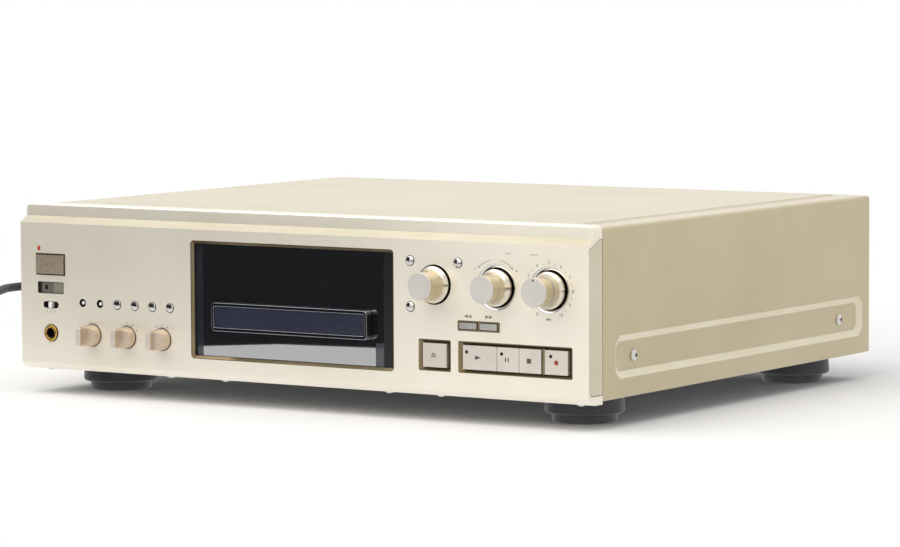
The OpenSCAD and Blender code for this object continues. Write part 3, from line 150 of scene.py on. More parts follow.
finish = {
    # aluminium, bead blasted and anodised champagne: soft sheen, fine even grain
    "panel": makeFinish("blasted_anodised_aluminium", "#F8F1E2", "#F4ECDB", 0.5, 0.38, 0.9, 60, 0.02, 0.004),
    # the same metal on the strip that slopes back, with painted shade: a darker tone, matched to the photo
    "slope": makeFinish("aluminium_slope_painted_shade", "#CFC7B2", "#C8BFA9", 0.5, 0.42, 0.9, 60, 0.02, 0.004),
    # the same metal on the end caps, a little greener
    "caps": makeFinish("anodised_aluminium_caps", "#D6CEB8", "#D0C8B0", 0.55, 0.36, 0.9, 60, 0.02, 0.004),
    # steel sheet with a metallic lacquer: tiny flakes, a faint orange peel and a clear coat that shines
    # at a low angle
    "cover": makeFinish("metallic_lacquer_on_steel", "#C8BA96", "#C1B28D", 0.5, 0.42,
                        1.1, 90, 0.04, 0.01, 0.05,
                        **{"Coat Weight": 0.6, "Coat Roughness": 0.22}),
    # the same lacquer on the slopes of the side recesses, with a painted highlight: a paler tone, matched to
    # the photo
    "coverEdge": makeFinish("lacquer_slopes_painted_highlight", "#E6DCC2", "#DFD4B8", 0.6, 0.36,
                            1.1, 60, 0.03, 0.006, 0.04,
                            **{"Coat Weight": 0.6, "Coat Roughness": 0.2}),
    # aluminium, anodised bronze and left satin
    "bronze": makeFinish("bronze_anodised_aluminium", "#938465", "#87785A", 0.9, 0.3, 0.7, 20, 0.03, 0.001),
    # the same metal with painted shade: nearly black where it lies deep beside the search keys
    "bronzeShade": makeFinish("bronze_painted_shade", "#5A4E3C", "#4F4434", 0.8, 0.34,
                             0.7, 12, 0.05, 0.004),
    # zinc casting, plated and left matt on the front faces
    "knobFace": makeFinish("matt_plated_zinc", "#D6D1CB", "#D0CAC3", 0.5, 0.45, 0.6, 15, 0.02, 0.001),
    # the same casting, brushed to a warm satin on its sides
    "knobSide": makeFinish("satin_plated_zinc", "#CBBFA4", "#C3B698", 0.85, 0.24,
                           0.7, 15, 0.025, 0.0006, 0.03),
    # and polished on its steps
    "knobBright": makeFinish("polished_plated_zinc", "#DDD5C6", "#D5CCBB", 1.0, 0.12,
                             0.9, 15, 0.02, 0.0004, 0.02),
    # turned ring, chromed: sharp reflections
    "chrome": makeFinish("bright_chrome", "#DEDCD8", "#D6D3CF", 1.0, 0.07, 0.9, 12, 0.02, 0.0002, 0.02),
    # the search keys' plating, greyer and softer
    "searchKey": makeFinish("satin_chrome_plating", "#C3BFB9", "#BBB7B1", 1.0, 0.2,
                            0.5, 10, 0.02, 0.0003, 0.03),
    # small moulded keys, vacuum plated: bright with a soft edge
    "domeKey": makeFinish("vacuum_plated_abs", "#DCDAD6", "#D4D1CD", 1.0, 0.16, 0.5, 8, 0.02, 0.0003, 0.03),
    # aluminium, anodised a rose champagne
    "rose": makeFinish("rose_anodised_aluminium", "#D3C1AC", "#CCB9A3", 0.7, 0.3, 0.6, 14, 0.02, 0.0006),
    # the same metal cut bright on a knob's blade
    "blade": makeFinish("bright_cut_rose_aluminium", "#E6DBD0", "#DFD3C7", 0.5, 0.34, 0.6, 10, 0.02, 0.0006),
    # large keys, pressed aluminium, pinkish and satin
    "key": makeFinish("satin_key_aluminium", "#E2D9CE", "#DBD1C5", 0.55, 0.34, 0.6, 18, 0.02, 0.001),
    # glass, dyed nearly black: the high IORs stand for a half-mirror film, matched to the photo
    "glass": makeFinish("smoked_mirror_glass", "#0A0B0E", "#0C0D10", 0.0, 0.02, 1.5, 50, 0.05, 0, 0.008,
                        **{"IOR": 3.4, "Coat Weight": 1.0, "Coat IOR": 2.5, "Coat Roughness": 0.01}),
    # strips near the ends of the glass: a grey one at the left end, a painted reflection of the recess wall,
    # and a paler grey patch at the right end
    "glassStrip": makeFinish("grey_painted_reflection", "#2A2C30", "#26282C", 0.0, 0.06, 0.9, 16, 0.06, 0, 0.02,
                             **{"Coat Weight": 0.6, "Coat Roughness": 0.02}),
    "glassPale": makeFinish("pale_grey_patch", "#3E4145", "#383B3F", 0.0, 0.08, 0.9, 12, 0.06, 0, 0.02,
                            **{"Coat Weight": 0.6, "Coat Roughness": 0.02}),
    # matt black sheet at the right end of the window: painted shade where the glass shows no reflection
    "glassShadeSheet": makeFinish("black_painted_shade_sheet", "#0B0C0E", "#0F1012", 0.0, 0.32, 0.9, 16, 0.08, 0.002),
    # moulded acrylic of the tray front, polished: a metallic grey on its bevels is a painted highlight that
    # stands for bright lines
    "trayEdgeHighlight": makeFinish("acrylic_edge_painted_highlight", "#8D9096", "#84878D", 0.7, 0.12, 0.8, 12, 0.04, 0),
    "trayBlack": makeFinish("polished_black_acrylic", "#0E0F12", "#121317", 0.0, 0.08, 0.8, 30, 0.05, 0, 0.03,
                            **{"Coat Weight": 0.4, "Coat Roughness": 0.04}),
    # satin insert of the tray front, dark navy
    "navy": makeFinish("satin_navy_insert", "#24263A", "#1F2133", 0.0, 0.28, 0.5, 30, 0.07, 0.004),
    # moulded ABS, black and matt
    "abs": makeFinish("matt_black_abs", "#1A1A1C", "#222224", 0.0, 0.52, 0.6, 20, 0.12, 0.02),
    # black: painted shade on the walls of gaps and holes and on the keys below their caps, and the own black
    # of the keys' lamp windows
    "hole": makeFinish("black_plastic_and_painted_shade", "#0B0B0C", "#101011", 0.0, 0.75, 0.5, 10, 0.1, 0.01),
    # feet: hard rubbery plastic, charcoal with a blue cast and moulding grain
    "foot": makeFinish("charcoal_moulded_rubber", "#2C2C31", "#36363C", 0.0, 0.45, 1.2, 18, 0.12, 0.05),
    # lead: soft PVC, slightly dusty, with a low sheen
    "cord": makeFinish("black_pvc_sheath", "#0F0F11", "#151517", 0.0, 0.55, 0.9, 25, 0.1, 0.03),
    # zinc plated sheet of the chassis, with its spangle
    "zinc": makeFinish("zinc_plated_steel", "#B9BCBD", "#A6AAAC", 1.0, 0.38, 4, 30, 0.1, 0.01, 0.08),
    # rear sheet, lacquered dark grey
    "rear": makeFinish("grey_lacquered_steel", "#55565A", "#4D4E52", 0.0, 0.48, 0.9, 60, 0.06, 0.03),
    # nickel plated screw steel
    "screw": makeFinish("nickel_plated_steel", "#D4D2CC", "#C9C6BF", 1.0, 0.16, 0.8, 4, 0.03, 0.002, 0.04),
    # the driver's recess in a screw: painted shade, a darker steel
    "recess": makeFinish("screw_recess_painted_shade", "#4A4844", "#3F3D3A", 0.9, 0.45, 0.4, 3, 0.1, 0.004),
    # gilt contact metal
    "gilt": makeFinish("gilt_brass", "#D3AC5A", "#C69C48", 1.0, 0.16, 0.6, 5, 0.04, 0.002, 0.04),
    # circuit board, green solder resist over copper tracks
    "board": makeFinish("solder_resist_board", "#2F5B3D", "#274D34", 0.0, 0.38, 1.6, 8, 0.25, 0.02,
                        **{"Coat Weight": 0.3}),
    # transformer core, lacquered laminations
    "core": makeFinish("lacquered_laminations", "#6A4B32", "#57402C", 0.2, 0.5, 1.2, 16, 0.15, 0.05,
                       stretch=(1, 1, 6)),
    # motor can, drawn steel
    "motor": makeFinish("drawn_steel_can", "#B4B6B8", "#A5A7A9", 1.0, 0.25, 0.8, 8, 0.05, 0.004,
                        stretch=(1, 1, 8)),
    # tray carrier: glass-filled plastic, grey and matt
    "tray": makeFinish("grey_filled_plastic", "#55575C", "#4C4E53", 0.0, 0.5, 1.0, 25, 0.1, 0.03),
    # gears: natural acetal, slightly waxy
    "acetal": makeFinish("natural_acetal", "#DCD8CA", "#D3CEBF", 0.0, 0.4, 0.8, 12, 0.05, 0.01,
                         **{"Subsurface Weight": 0.1, "Subsurface Scale": 0.001}),
    # display glass behind the window, with a filter film
    "display": makeFinish("display_glass", "#1C2A2C", "#16211F", 0.0, 0.12, 2, 20, 0.1, 0),
    # remote window, smoked grey acrylic; a darker patch for the sensor, a dark strip at its left end that is
    # a painted shadow of the recess wall, and a paler patch that is a painted highlight
    "irGlass": makeFinish("smoked_grey_acrylic", "#6C6A60", "#605E55", 0.0, 0.12, 1.5, 9, 0.08, 0,
                          **{"Coat Weight": 0.6, "Coat Roughness": 0.03}),
    "irPale": makeFinish("smoked_acrylic_painted_highlight", "#8B877C", "#7F7B70", 0.0, 0.14, 1.5, 9, 0.08, 0,
                         **{"Coat Weight": 0.6, "Coat Roughness": 0.03}),
    "irDark": makeFinish("dark_sensor_and_painted_shadow", "#2E2C28", "#282622", 0.0, 0.16, 0.8, 6, 0.08, 0,
                         **{"Coat Weight": 0.6, "Coat Roughness": 0.03}),
    # white moulded keys and switch nub
    "white": makeFinish("white_moulded_abs", "#F0EEE8", "#E6E3DB", 0.0, 0.35, 0.6, 5, 0.04, 0.01),
    # printed marks: warm grey ink, dull
    "ink": makeFinish("screen_printed_ink", "#7A7164", "#857B6D", 0.0, 0.6, 0.4, 4, 0.08, 0),
    # the keys' symbols, a darker print
    "keyInk": makeFinish("dark_key_print", "#4A4440", "#544E49", 0.0, 0.55, 0.4, 3, 0.1, 0),
    # red print
    "red": makeFinish("red_print", "#A83A32", "#96302A", 0.0, 0.45, 0.4, 3, 0.1, 0),
    # and the dark red dot of the level knob
    "darkRed": makeFinish("dark_red_enamel", "#5A1A18", "#4E1614", 0.0, 0.3, 0.4, 3, 0.1, 0),
    # light pipe of the standby lamp
    "lens": makeFinish("red_lens", "#C8463A", "#B53A30", 0.0, 0.25, 0.5, 2, 0.08, 0, **{"Coat Weight": 0.4}),
    # coloured insulators of the phono sockets
    "ringWhite": makeFinish("white_insulator", "#E9E7E0", "#DCDAD2", 0.0, 0.4, 0.5, 4, 0.05, 0.01),
    "ringRed": makeFinish("red_insulator", "#B3262A", "#A01F24", 0.0, 0.4, 0.5, 4, 0.08, 0.01),
    "ringOrange": makeFinish("orange_insulator", "#D9772A", "#C96A22", 0.0, 0.4, 0.5, 4, 0.08, 0.01),
}
print("materials made", len(finish))


def addObject(name, data, body, slot, *materials):
    piece = bpy.data.objects.new(name, data)
    for material in materials:
        data.materials.append(finish[material])
    bpy.context.scene.collection.objects.link(piece)
    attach(piece, body)
    return piece


def finishMesh(bm, name, smoothAngle=35):
    data = bpy.data.meshes.new(name)
    bm.to_mesh(data)
    bm.free()
    data.shade_smooth()
    data.set_sharp_from_angle(angle=radians(smoothAngle))
    return data


# A copy of a CAD node, its flats merged unless they have openings that the bevel would close
def mergedCopy(node, flats=True):
    bm = bmesh.new()
    bm.from_mesh(frame["nodes"][node].data)
    bmesh.ops.remove_doubles(bm, verts=bm.verts, dist=0.002 * mm)
    if not flats:
        return bm
    bmesh.ops.dissolve_limit(bm, angle_limit=radians(0.6), use_dissolve_boundaries=False, verts=bm.verts,
                             edges=bm.edges)
    return bm


def breakEdges(bm, width, segments=2, angle=32):
    edges = [e for e in bm.edges if len(e.link_faces) == 2 and e.calc_face_angle(0) > radians(angle)]
    bmesh.ops.bevel(bm, geom=edges, offset=width * mm, offset_type="OFFSET", affect="EDGES",
                    segments=segments, profile=0.5, material=-1, clamp_overlap=True)


# Dresses a CAD node: broken edges, smooth shading, its finish, and by place other finishes for some faces
def dress(node, material, width=0.25, segments=2, angle=32, others=(), pick=None, flats=True, smooth=35):
    bm = mergedCopy(node, flats)
    if width:
        breakEdges(bm, width, segments, angle)
    if pick:
        for face in bm.faces:
            face.material_index = pick(face)
    data = finishMesh(bm, "dressed_" + node, smooth)
    piece = addObject("dressed_" + node, data, nodeBody[node], nodeSlot[node], material, *others)
    weighted = piece.modifiers.new("even shading", "WEIGHTED_NORMAL")
    weighted.keep_sharp = True
    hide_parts(node)
    return piece


# Keeps a CAD node as it is and gives it its finish
def paint(node, *materials, pick=None):
    piece = frame["nodes"][node]
    piece.data.materials.clear()
    for material in materials:
        piece.data.materials.append(finish[material])
    for face in piece.data.polygons:
        face.material_index = pick(face) if pick else 0
    piece.data.shade_smooth()
    piece.data.set_sharp_from_angle(angle=radians(30))
    return piece


lead = {
    "diameter": 7,
    "start": (-178, 212.4, 48),
    "path": [(-178, 222, 48), (-178, 236, 45), (-178, 251, 38.5), (-178.5, 265, 28.5), (-180, 278, 17.5),
             (-183, 292, 8.5), (-188, 308, 4.2), (-196, 326, 3.5), (-210, 347, 3.5), (-231, 368, 3.5),
             (-260, 387, 3.5), (-296, 401, 3.5), (-338, 410, 3.5), (-385, 417, 3.5), (-434, 424, 3.5),
             (-484, 432, 3.5), (-534, 441, 3.5), (-582, 450, 3.5), (-626, 455.2, 3.5), (-662, 454.2, 3.5),
             (-688, 445, 3.5), (-702, 427, 3.5), (-703, 404, 3.5), (-694, 383, 3.5), (-683, 362, 3.5),
             (-676, 340, 3.5), (-674, 317, 3.5), (-674, 296, 3.5), (-674, 289, 3.5)],
    "coilCentre": (-711.5, 286),
    "coilRadius": 37.5,
    "turns": 4,
    "step": 7.6,
    "perTurn": 24,
    "tail": (20, 27),  # the last two points, this far in front of the coil's middle
    "length": 1.6,
}


# Two layers of two turns: wound inwards on the table, up a layer and out again
def coilPoint(t):
    half = lead["turns"] / 2
    inward = t if t < half else lead["turns"] - t
    rise = min(max((t - half + 0.25) / 0.5, 0), 1)
    radius = lead["coilRadius"] - lead["step"] * inward
    angle = -2 * pi * t
    x, y = lead["coilCentre"]
    return x + radius * cos(angle), y + radius * sin(angle), lead["diameter"] / 2 + lead["step"] * rise


def leadRoute():
    route = [lead["start"]] + lead["path"]
    route += [coilPoint(i / lead["perTurn"]) for i in range(lead["turns"] * lead["perTurn"] + 1)]
    x = lead["coilCentre"][0] + lead["coilRadius"]
    return route + [(x, lead["coilCentre"][1] - y, lead["diameter"] / 2 + lead["step"]) for y in lead["tail"]]


def makeLead():
    route = leadRoute()
    data = bpy.data.curves.new("mains_lead", "CURVE")
    data.dimensions = "3D"
    data.bevel_depth = lead["diameter"] / 2 * mm
    data.bevel_resolution = 5
    data.resolution_u = 4
    data.use_fill_caps = True
    spline = data.splines.new("BEZIER")
    spline.bezier_points.add(len(route) - 1)
    last = len(route) - 1
    for i, knot in enumerate(spline.bezier_points):
        before, here, after = (Vector(route[min(max(i + k, 0), last)]) * mm for k in (-1, 0, 1))
        reach = (after - before) / (3 if i in (0, last) else 6)
        knot.handle_left_type = knot.handle_right_type = "FREE"
        if here.z < (lead["diameter"] / 2 + 0.01) * mm:  # flat on the table, so that it doesn't dip into it
            reach.z = 0
        knot.co, knot.handle_left, knot.handle_right = here, here - reach, here + reach
    return addObject("mains_lead", data, "deck", nodeSlot["cord_lead"], "cord")


# The moulded relief: a flange on the rear panel, then a taper with slots cut from both sides in turn
relief = {
    "slots": 6,
    "slotWidth": 1.7,
    "first": 7,
    "pitch": 3.4,
    "cutterWidth": 22,
    "cutterThick": 9,
    "cutterOff": 10.6,  # from the axis to the middle of the first slot's cutters
    "taper": 0.15,      # and how much nearer each next slot is
}


def makeRelief():
    low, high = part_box("strain_relief")
    x, z = middle("strain_relief")
    bm = mergedCopy("strain_relief")
    breakEdges(bm, 0.4)
    body = finishMesh(bm, "strain_relief_body")
    piece = addObject("lead_relief", body, "deck", nodeSlot["strain_relief"], "cord")
    cutters = bmesh.new()
    for i in range(relief["slots"]):
        y = low[1] / mm + relief["first"] + i * relief["pitch"]
        for side in (-1, 1):
            away = side * (relief["cutterOff"] - relief["taper"] * i)
            across = (0, away) if i % 2 else (away, 0)
            box = bmesh.ops.create_cube(cutters, size=1)["verts"]
            wide, thick = relief["cutterWidth"], relief["cutterThick"]
            size = (wide, relief["slotWidth"], thick) if i % 2 else (thick, relief["slotWidth"], wide)
            bmesh.ops.scale(cutters, vec=Vector(size) * mm, verts=box)
            bmesh.ops.translate(cutters, vec=Vector((x + across[0], y, z + across[1])) * mm, verts=box)
    cut(piece, cutters)
    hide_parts("strain_relief")


# Cuts one mesh out of another with the exact boolean and keeps only the result
def cut(piece, cutters):
    data = bpy.data.meshes.new("cutters")
    cutters.to_mesh(data)
    cutters.free()
    tool = bpy.data.objects.new("cutters", data)
    bpy.context.scene.collection.objects.link(tool)
    change = piece.modifiers.new("cut", "BOOLEAN")
    change.operation = "DIFFERENCE"
    change.solver = "EXACT"
    change.use_self = True
    change.object = tool
    bpy.context.view_layer.update()
    done = bpy.data.meshes.new_from_object(piece.evaluated_get(bpy.context.evaluated_depsgraph_get()))
    piece.modifiers.remove(change)
    piece.data = done
    bpy.data.objects.remove(tool)
    done.shade_smooth()
    done.set_sharp_from_angle(angle=radians(35))


leadCurve = makeLead()
makeRelief()
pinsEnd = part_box("plug")[0][1] + 17.2 * mm
leadPlug = dress("plug", "cord", 0.8, 3, 40, ("screw",),
                 lambda face: 1 if face.calc_center_median().y < pinsEnd else 0)
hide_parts("cord_lead", "cord_coil")
print("mains lead laid")


# How far a face of a piece lies behind the panel's face, in millimetres
def depth(face):
    return face.calc_center_median().y / mm - faceY


# For dress: the second finish for every face that lies deeper than this
def deeper(limit):
    return lambda face: 1 if depth(face) > limit else 0


# How far a face lies from an axis that runs straight back from the face
def fromAxis(face, x, z):
    centre = face.calc_center_median() / mm
    return hypot(centre.x - x, centre.z - z)


knobHeight = 84.1
digitalX, levelX = 150.4, 188
leftX = -190.5  # the column of the power key, the timer switch and the headphone socket
socketHeight = 40.1

# Where the front's other finishes lie, in millimetres
zones = {
    "ring": (11.5, 15.2),      # radii of the chromed rings
    "slope": (104, 119.5),     # heights between which the panel slopes back
    "holes": (25, 110),        # heights between which the keys have holes
    "holeDepth": (0.3, 2.2),
    "holeReach": 210,          # and how far to each side
    "recessTop": 60,           # the cover's side recesses lie below this
    "recessOut": 212.5,        # and outside this
    "searchFrame": 55.5,       # the search keys' frame lies above this
    "frameWall": 2.3,          # depth from which the key frames' walls are painted black as shade
    "frameDark": 0.15,         # and from which the search keys' frame gets painted shade
    "socketBore": 3.35,
}


# The panel: chromed rings round two knobs, and painted shade: black walls in the holes of the keys, and a
# darker tone on the slope under the brow
def panelFinish(face):
    tilt, centre = abs(face.normal.y), face.calc_center_median() / mm
    inner, outer = zones["ring"]
    for x in (digitalX, levelX):
        if 0.3 < tilt < 0.98 and inner < fromAxis(face, x, knobHeight) < outer:
            return 1
    low, high = zones["slope"]
    if 0.3 < face.normal.z < 0.92 and low < centre.z < high:
        return 3
    low, high = zones["holes"]
    near, far = zones["holeDepth"]
    inHoles = low < centre.z < high and abs(centre.x) < zones["holeReach"]
    return 2 if tilt < 0.3 and near < depth(face) < far and inHoles else 0


# The cover: its side recesses slope inwards all round, and those slopes get a painted highlight
def coverFinish(face):
    centre = face.calc_center_median()
    slanted = 0.5 < abs(face.normal.x) < 0.97 and abs(face.normal.z) + abs(face.normal.y) > 0.3
    inside = centre.z < zones["recessTop"] * mm and abs(centre.x) > zones["recessOut"] * mm
    return 1 if slanted and inside else 0


# The key frames, painted shade: black walls between the keys, and darker metal deep in the search keys' frame
def frameFinish(face):
    if depth(face) > zones["frameWall"] and abs(face.normal.y) < 0.3:
        return 1
    inSearchFrame = face.calc_center_median().z > zones["searchFrame"] * mm
    return 2 if inSearchFrame and depth(face) > zones["frameDark"] else 0


dress("front_panel", "panel", 0.22, 2, 40, ("chrome", "hole", "slope"), panelFinish)
dress("end_caps", "caps", 0.3, 2, 30)
dress("top_cover", "cover", 0, others=("coverEdge",), pick=coverFinish, flats=False, smooth=20)
dress("bottom_chassis", "zinc", 0)
dress("rear_panel", "rear", 0)
dress("feet", "foot", 0)
dress("window_bezel", "bronze", 0.12, 2, 40, ("abs",), deeper(1.55))
dress("window_glass", "glass", 0.1, 1, 40)
dress("key_surrounds", "bronze", 0.1, 1, 40, ("hole", "bronzeShade"), frameFinish)
dress("ir_window", "irGlass", 0.15, 2, 40)
# the socket's bore and all that lies deeper than the face get the black of the holes: painted shade
dress("phones_jack", "gilt", 0.2, 2, 40, ("hole",),
      lambda face: 1 if fromAxis(face, leftX, socketHeight) < zones["socketBore"] or depth(face) > 0.4 else 0)
paint("front_subframe", "abs")
paint("transformer", "core")
paint("mech_frame", "zinc")
paint("loading_motor", "motor")
print("housing dressed")

# Boards: green where they are bare, black where parts stand on them, and the lamp's red light pipe
boards = {"thick": 1.7, "switches": 19.5, "pipeEnd": 12, "pipeAbove": 92.5, "pipeLeft": -198}


def controlBoardFinish(face):
    x, y, z = face.center
    if y < (faceY + boards["pipeEnd"]) * mm and z > boards["pipeAbove"] * mm and x < boards["pipeLeft"] * mm:
        return 2
    return 1 if y < (faceY + boards["switches"]) * mm else 0


for name in ("power_board", "main_board"):
    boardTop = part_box(name)[0][2] + boards["thick"] * mm
    paint(name, "board", "abs", pick=lambda face, top=boardTop: 1 if face.center.z > top else 0)
paint("control_boards", "board", "abs", "lens", pick=controlBoardFinish)
paint("display_module", "display")

# Rear sockets: gilt pins and barrels, and insulators in the usual colours; the optical ones stay black
sockets = {"ringWhite": [(62, 58), (90, 58)], "ringRed": [(62, 42), (90, 42)], "ringOrange": [(118, 50)]}
insulators = {"from": 355.75, "to": 356.9, "radius": 7.5}


def socketFinish(face):
    x, y, z = face.center.x / mm, face.center.y / mm - faceY, face.center.z / mm
    if y < insulators["from"]:
        return 0
    for i, colour in enumerate(sockets):
        for place in sockets[colour]:
            away = hypot(x - place[0], z - place[1])
            if away < insulators["radius"]:
                return 1 if y > insulators["to"] else 2 + i
    return 0


paint("rear_jacks", "abs", "gilt", *sockets, pick=socketFinish)
for name in ("loading_gear", "motor_gear"):
    paint(name, "acetal")
for name in ("traverse", "lead_screw"):
    paint(name, "zinc")
paint("turntable", "abs")
paint("optical_sled", "abs")
paint("tray", "tray")
print("inside painted")

# the tray front's bevels get the metallic grey: a painted highlight
dress("tray_front", "trayBlack", 0.5, 3, 30, ("trayEdgeHighlight",),
      lambda face: 1 if depth(face) < -2.2 and 0.3 < abs(face.normal.y) < 0.97 else 0)
dress("tray_inset", "navy", 0.3, 2, 30)

# Keys: bright caps, painted black below them as shade, so that the gaps round them stay dark; the caps end
# this deep
caps = {"power": 1.9, "small": 1.5, "large": 4.9}
dress("power_key", "rose", 0.5, 3, 40, ("hole",), deeper(caps["power"]))
for i in range(1, 7):
    dress("row_key_%d" % i, "white" if i < 3 else "domeKey", 0.2, 2, 40, ("hole",), deeper(caps["small"]))
for name in ("menu_key", "yes_key", "clear_key"):
    dress(name, "domeKey", 0.2, 2, 40, ("hole",), deeper(caps["small"]))
for name in ("search_back_key", "search_forward_key"):
    dress(name, "searchKey", 0.5, 3, 40, ("hole",), deeper(caps["large"]))
for name in ("eject_key", "play_key", "pause_key", "stop_key", "record_key"):
    dress(name, "key", 0.45, 3, 40, ("hole",), deeper(caps["large"]))
dress("timer_slider", "white", 0.2, 2, 40, ("hole",), deeper(caps["small"]))

# Knobs: matt in front, satin sides and bright steps, and bar knobs with a bright blade
knobs = {"bladeDepth": -14.6, "stepDepth": -4.5, "rim": 0.2}
levelDot = {"x": 187.7, "z": knobHeight + 7.2, "radius": 0.7}
for name in ("phones_knob", "input_knob", "mode_knob"):
    dress(name, "rose", 0.2, 2, 35, ("blade",), lambda face: 1 if depth(face) < knobs["bladeDepth"] else 0)
for name in ("jog_knob", "digital_knob", "level_knob", "balance_knob"):
    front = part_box(name)[0][1] / mm - faceY
    knob = dress(name, "knobSide", 0.25, 3, 35, ("knobFace", "knobBright"),
                 lambda face, end=front + knobs["rim"]: 1 if depth(face) < end else
                 2 if depth(face) > knobs["stepDepth"] else 0)
    if name == "level_knob":  # a drilled place for its enamelled dot
        drill = bmesh.new()
        wide = levelDot["radius"] * mm
        tip = bmesh.ops.create_cone(drill, cap_ends=True, segments=24, radius1=wide, radius2=wide,
                                    depth=1 * mm)["verts"]
        bmesh.ops.rotate(drill, cent=(0, 0, 0), matrix=Matrix.Rotation(pi / 2, 3, "X"), verts=tip)
        bmesh.ops.translate(drill, vec=at(levelDot["x"], -17.6, levelDot["z"]), verts=tip)
        cut(knob, drill)
paint("jog_shaft", "screw")
print("controls dressed")


# Screws: pan heads with a cross recess, one form in four sizes
screws = {
    "side": {"head": 7.3, "tall": 2.2, "shank": 3, "long": 4.2, "along": (1, 0, 0),
             "places": [(212.5, 56.6, 42), (212.5, 318.9, 42)]},
    "otherSide": {"head": 7.3, "tall": 2.2, "shank": 3, "long": 4.2, "along": (-1, 0, 0),
                  "places": [(-212.5, 56.6, 42), (-212.5, 318.9, 42)]},
    "lip": {"head": 5.6, "tall": 1.4, "shank": 2.8, "long": 7.8, "along": (0, 0, -1),
            "places": [(x, 12, 16) for x in (-200, -102.9, -59.9, 65, 103, 203)]},
    "rear": {"head": 6, "tall": 1.8, "shank": 3, "long": 4.9, "along": (0, 1, 0),
             "places": [(x, 357, 113.5) for x in (-150, 0, 150)]},
    "foot": {"head": 7.6, "tall": 2.4, "shank": 3.4, "long": 6.5, "along": (0, 0, -1),
             "places": [(x, y, 9) for x in (-178, 178) for y in (56.6, 318.9)]},
}


# The driver's cross: across the head, in parts of its width, and how far it narrows downwards
cross = {"long": 0.56, "wide": 0.15, "tall": 1.8, "lessLong": 0.5, "lessWide": 0.7}


# One screw at the origin, its head up: a profile spun round, then a cross cut into the dome
def makeScrew(head, tall, shank, long):
    ball = 0.75 * head
    edgeHeight = tall - ball + (ball ** 2 - (head / 2) ** 2) ** 0.5
    outline = [(0, -long), (shank / 2 - 0.4, -long), (shank / 2, 0.4 - long), (shank / 2, 0),
               (head / 2 - 0.1, 0), (head / 2, 0.1)]
    radii = [head / 2 * t for t in (1, 0.8, 0.6, 0.4, 0.2, 0)]
    outline += [(r, tall - ball + (ball ** 2 - r ** 2) ** 0.5) for r in radii]
    bm = bmesh.new()
    verts = [bm.verts.new((r * mm, 0, z * mm)) for r, z in outline]
    edges = [bm.edges.new(pair) for pair in zip(verts, verts[1:])]
    bmesh.ops.spin(bm, geom=verts + edges, cent=(0, 0, 0), axis=(0, 0, 1), angle=2 * pi, steps=32,
                   use_merge=True)
    bmesh.ops.remove_doubles(bm, verts=bm.verts, dist=0.001 * mm)
    bmesh.ops.recalc_face_normals(bm, faces=bm.faces)
    piece = bpy.data.objects.new("screw", finishMesh(bm, "screw", 30))
    bpy.context.scene.collection.objects.link(piece)
    cutters = bmesh.new()
    for turn in (0, pi / 2):
        wing = bmesh.ops.create_cube(cutters, size=1)["verts"]
        size = (cross["long"] * head, cross["wide"] * head, cross["tall"])
        bmesh.ops.scale(cutters, vec=Vector(size) * mm, verts=wing)
        for vert in wing:  # the cross narrows downwards
            if vert.co.z < 0:
                vert.co.x, vert.co.y = vert.co.x * cross["lessLong"], vert.co.y * cross["lessWide"]
        bmesh.ops.rotate(cutters, cent=(0, 0, 0), matrix=Matrix.Rotation(turn, 3, "Z"), verts=wing)
        bmesh.ops.translate(cutters, vec=(0, 0, (tall - 0.1) * mm), verts=wing)
    cut(piece, cutters)
    data = piece.data
    bpy.data.objects.remove(piece)
    data.materials.append(finish["screw"])
    data.materials.append(finish["recess"])
    # faces inside the cross get the darker steel: painted shade
    for face in data.polygons:
        r = hypot(face.center.x, face.center.y) / mm
        dome = tall - ball + max(ball ** 2 - r ** 2, 0) ** 0.5
        inCross = r < 0.3 * head and edgeHeight < face.center.z / mm + 1.2
        face.material_index = 1 if inCross and face.center.z / mm < dome - 0.12 else 0
    return data


def makeScrews():
    bm = bmesh.new()
    for sort in screws.values():
        one = makeScrew(sort["head"], sort["tall"], sort["shank"], sort["long"])
        turn = Vector((0, 0, 1)).rotation_difference(Vector(sort["along"])).to_matrix().to_4x4()
        for i, place in enumerate(sort["places"]):
            known = len(bm.verts)
            bm.from_mesh(one)
            bm.verts.ensure_lookup_table()
            twist = Matrix.Rotation(radians(25 + 37 * i), 4, "Z")
            move = Matrix.Translation(at(*place)) @ turn @ twist
            bmesh.ops.transform(bm, matrix=move, verts=bm.verts[known:])
    piece = addObject("cross_screws", finishMesh(bm, "cross_screws", 30), "deck", nodeSlot["case_screws"],
                      "screw", "recess")
    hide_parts("case_screws")


makeScrews()
print("screws driven")


# Flat marks: shapes laid on the panel's face, then moved to their depth and given a thickness
def patch(bm, points):
    bm.faces.new([bm.verts.new(at(x, 0, z)) for x, z in points])


def bar(bm, x0, x1, z0, z1):
    patch(bm, [(x0, z0), (x1, z0), (x1, z1), (x0, z1)])


def dot(bm, x, z, radius, sides=24):
    verts = bmesh.ops.create_circle(bm, cap_ends=True, segments=sides, radius=radius * mm)["verts"]
    bmesh.ops.rotate(bm, cent=(0, 0, 0), matrix=Matrix.Rotation(pi / 2, 3, "X"), verts=verts)
    bmesh.ops.translate(bm, vec=at(x, 0, z), verts=verts)


# A band round a centre, its angles in degrees clockwise from the top
def arc(bm, x, z, radius, start, end, width, steps=24):
    verts = [bm.verts.new(at(x + r * sin(radians(start)), 0, z + r * cos(radians(start))))
             for r in (radius - width / 2, radius + width / 2)]
    edge = bm.edges.new(verts)
    bmesh.ops.spin(bm, geom=verts + [edge], cent=at(x, 0, z), axis=(0, 1, 0), angle=radians(end - start),
                   steps=steps, use_merge=abs(end - start) == 360)


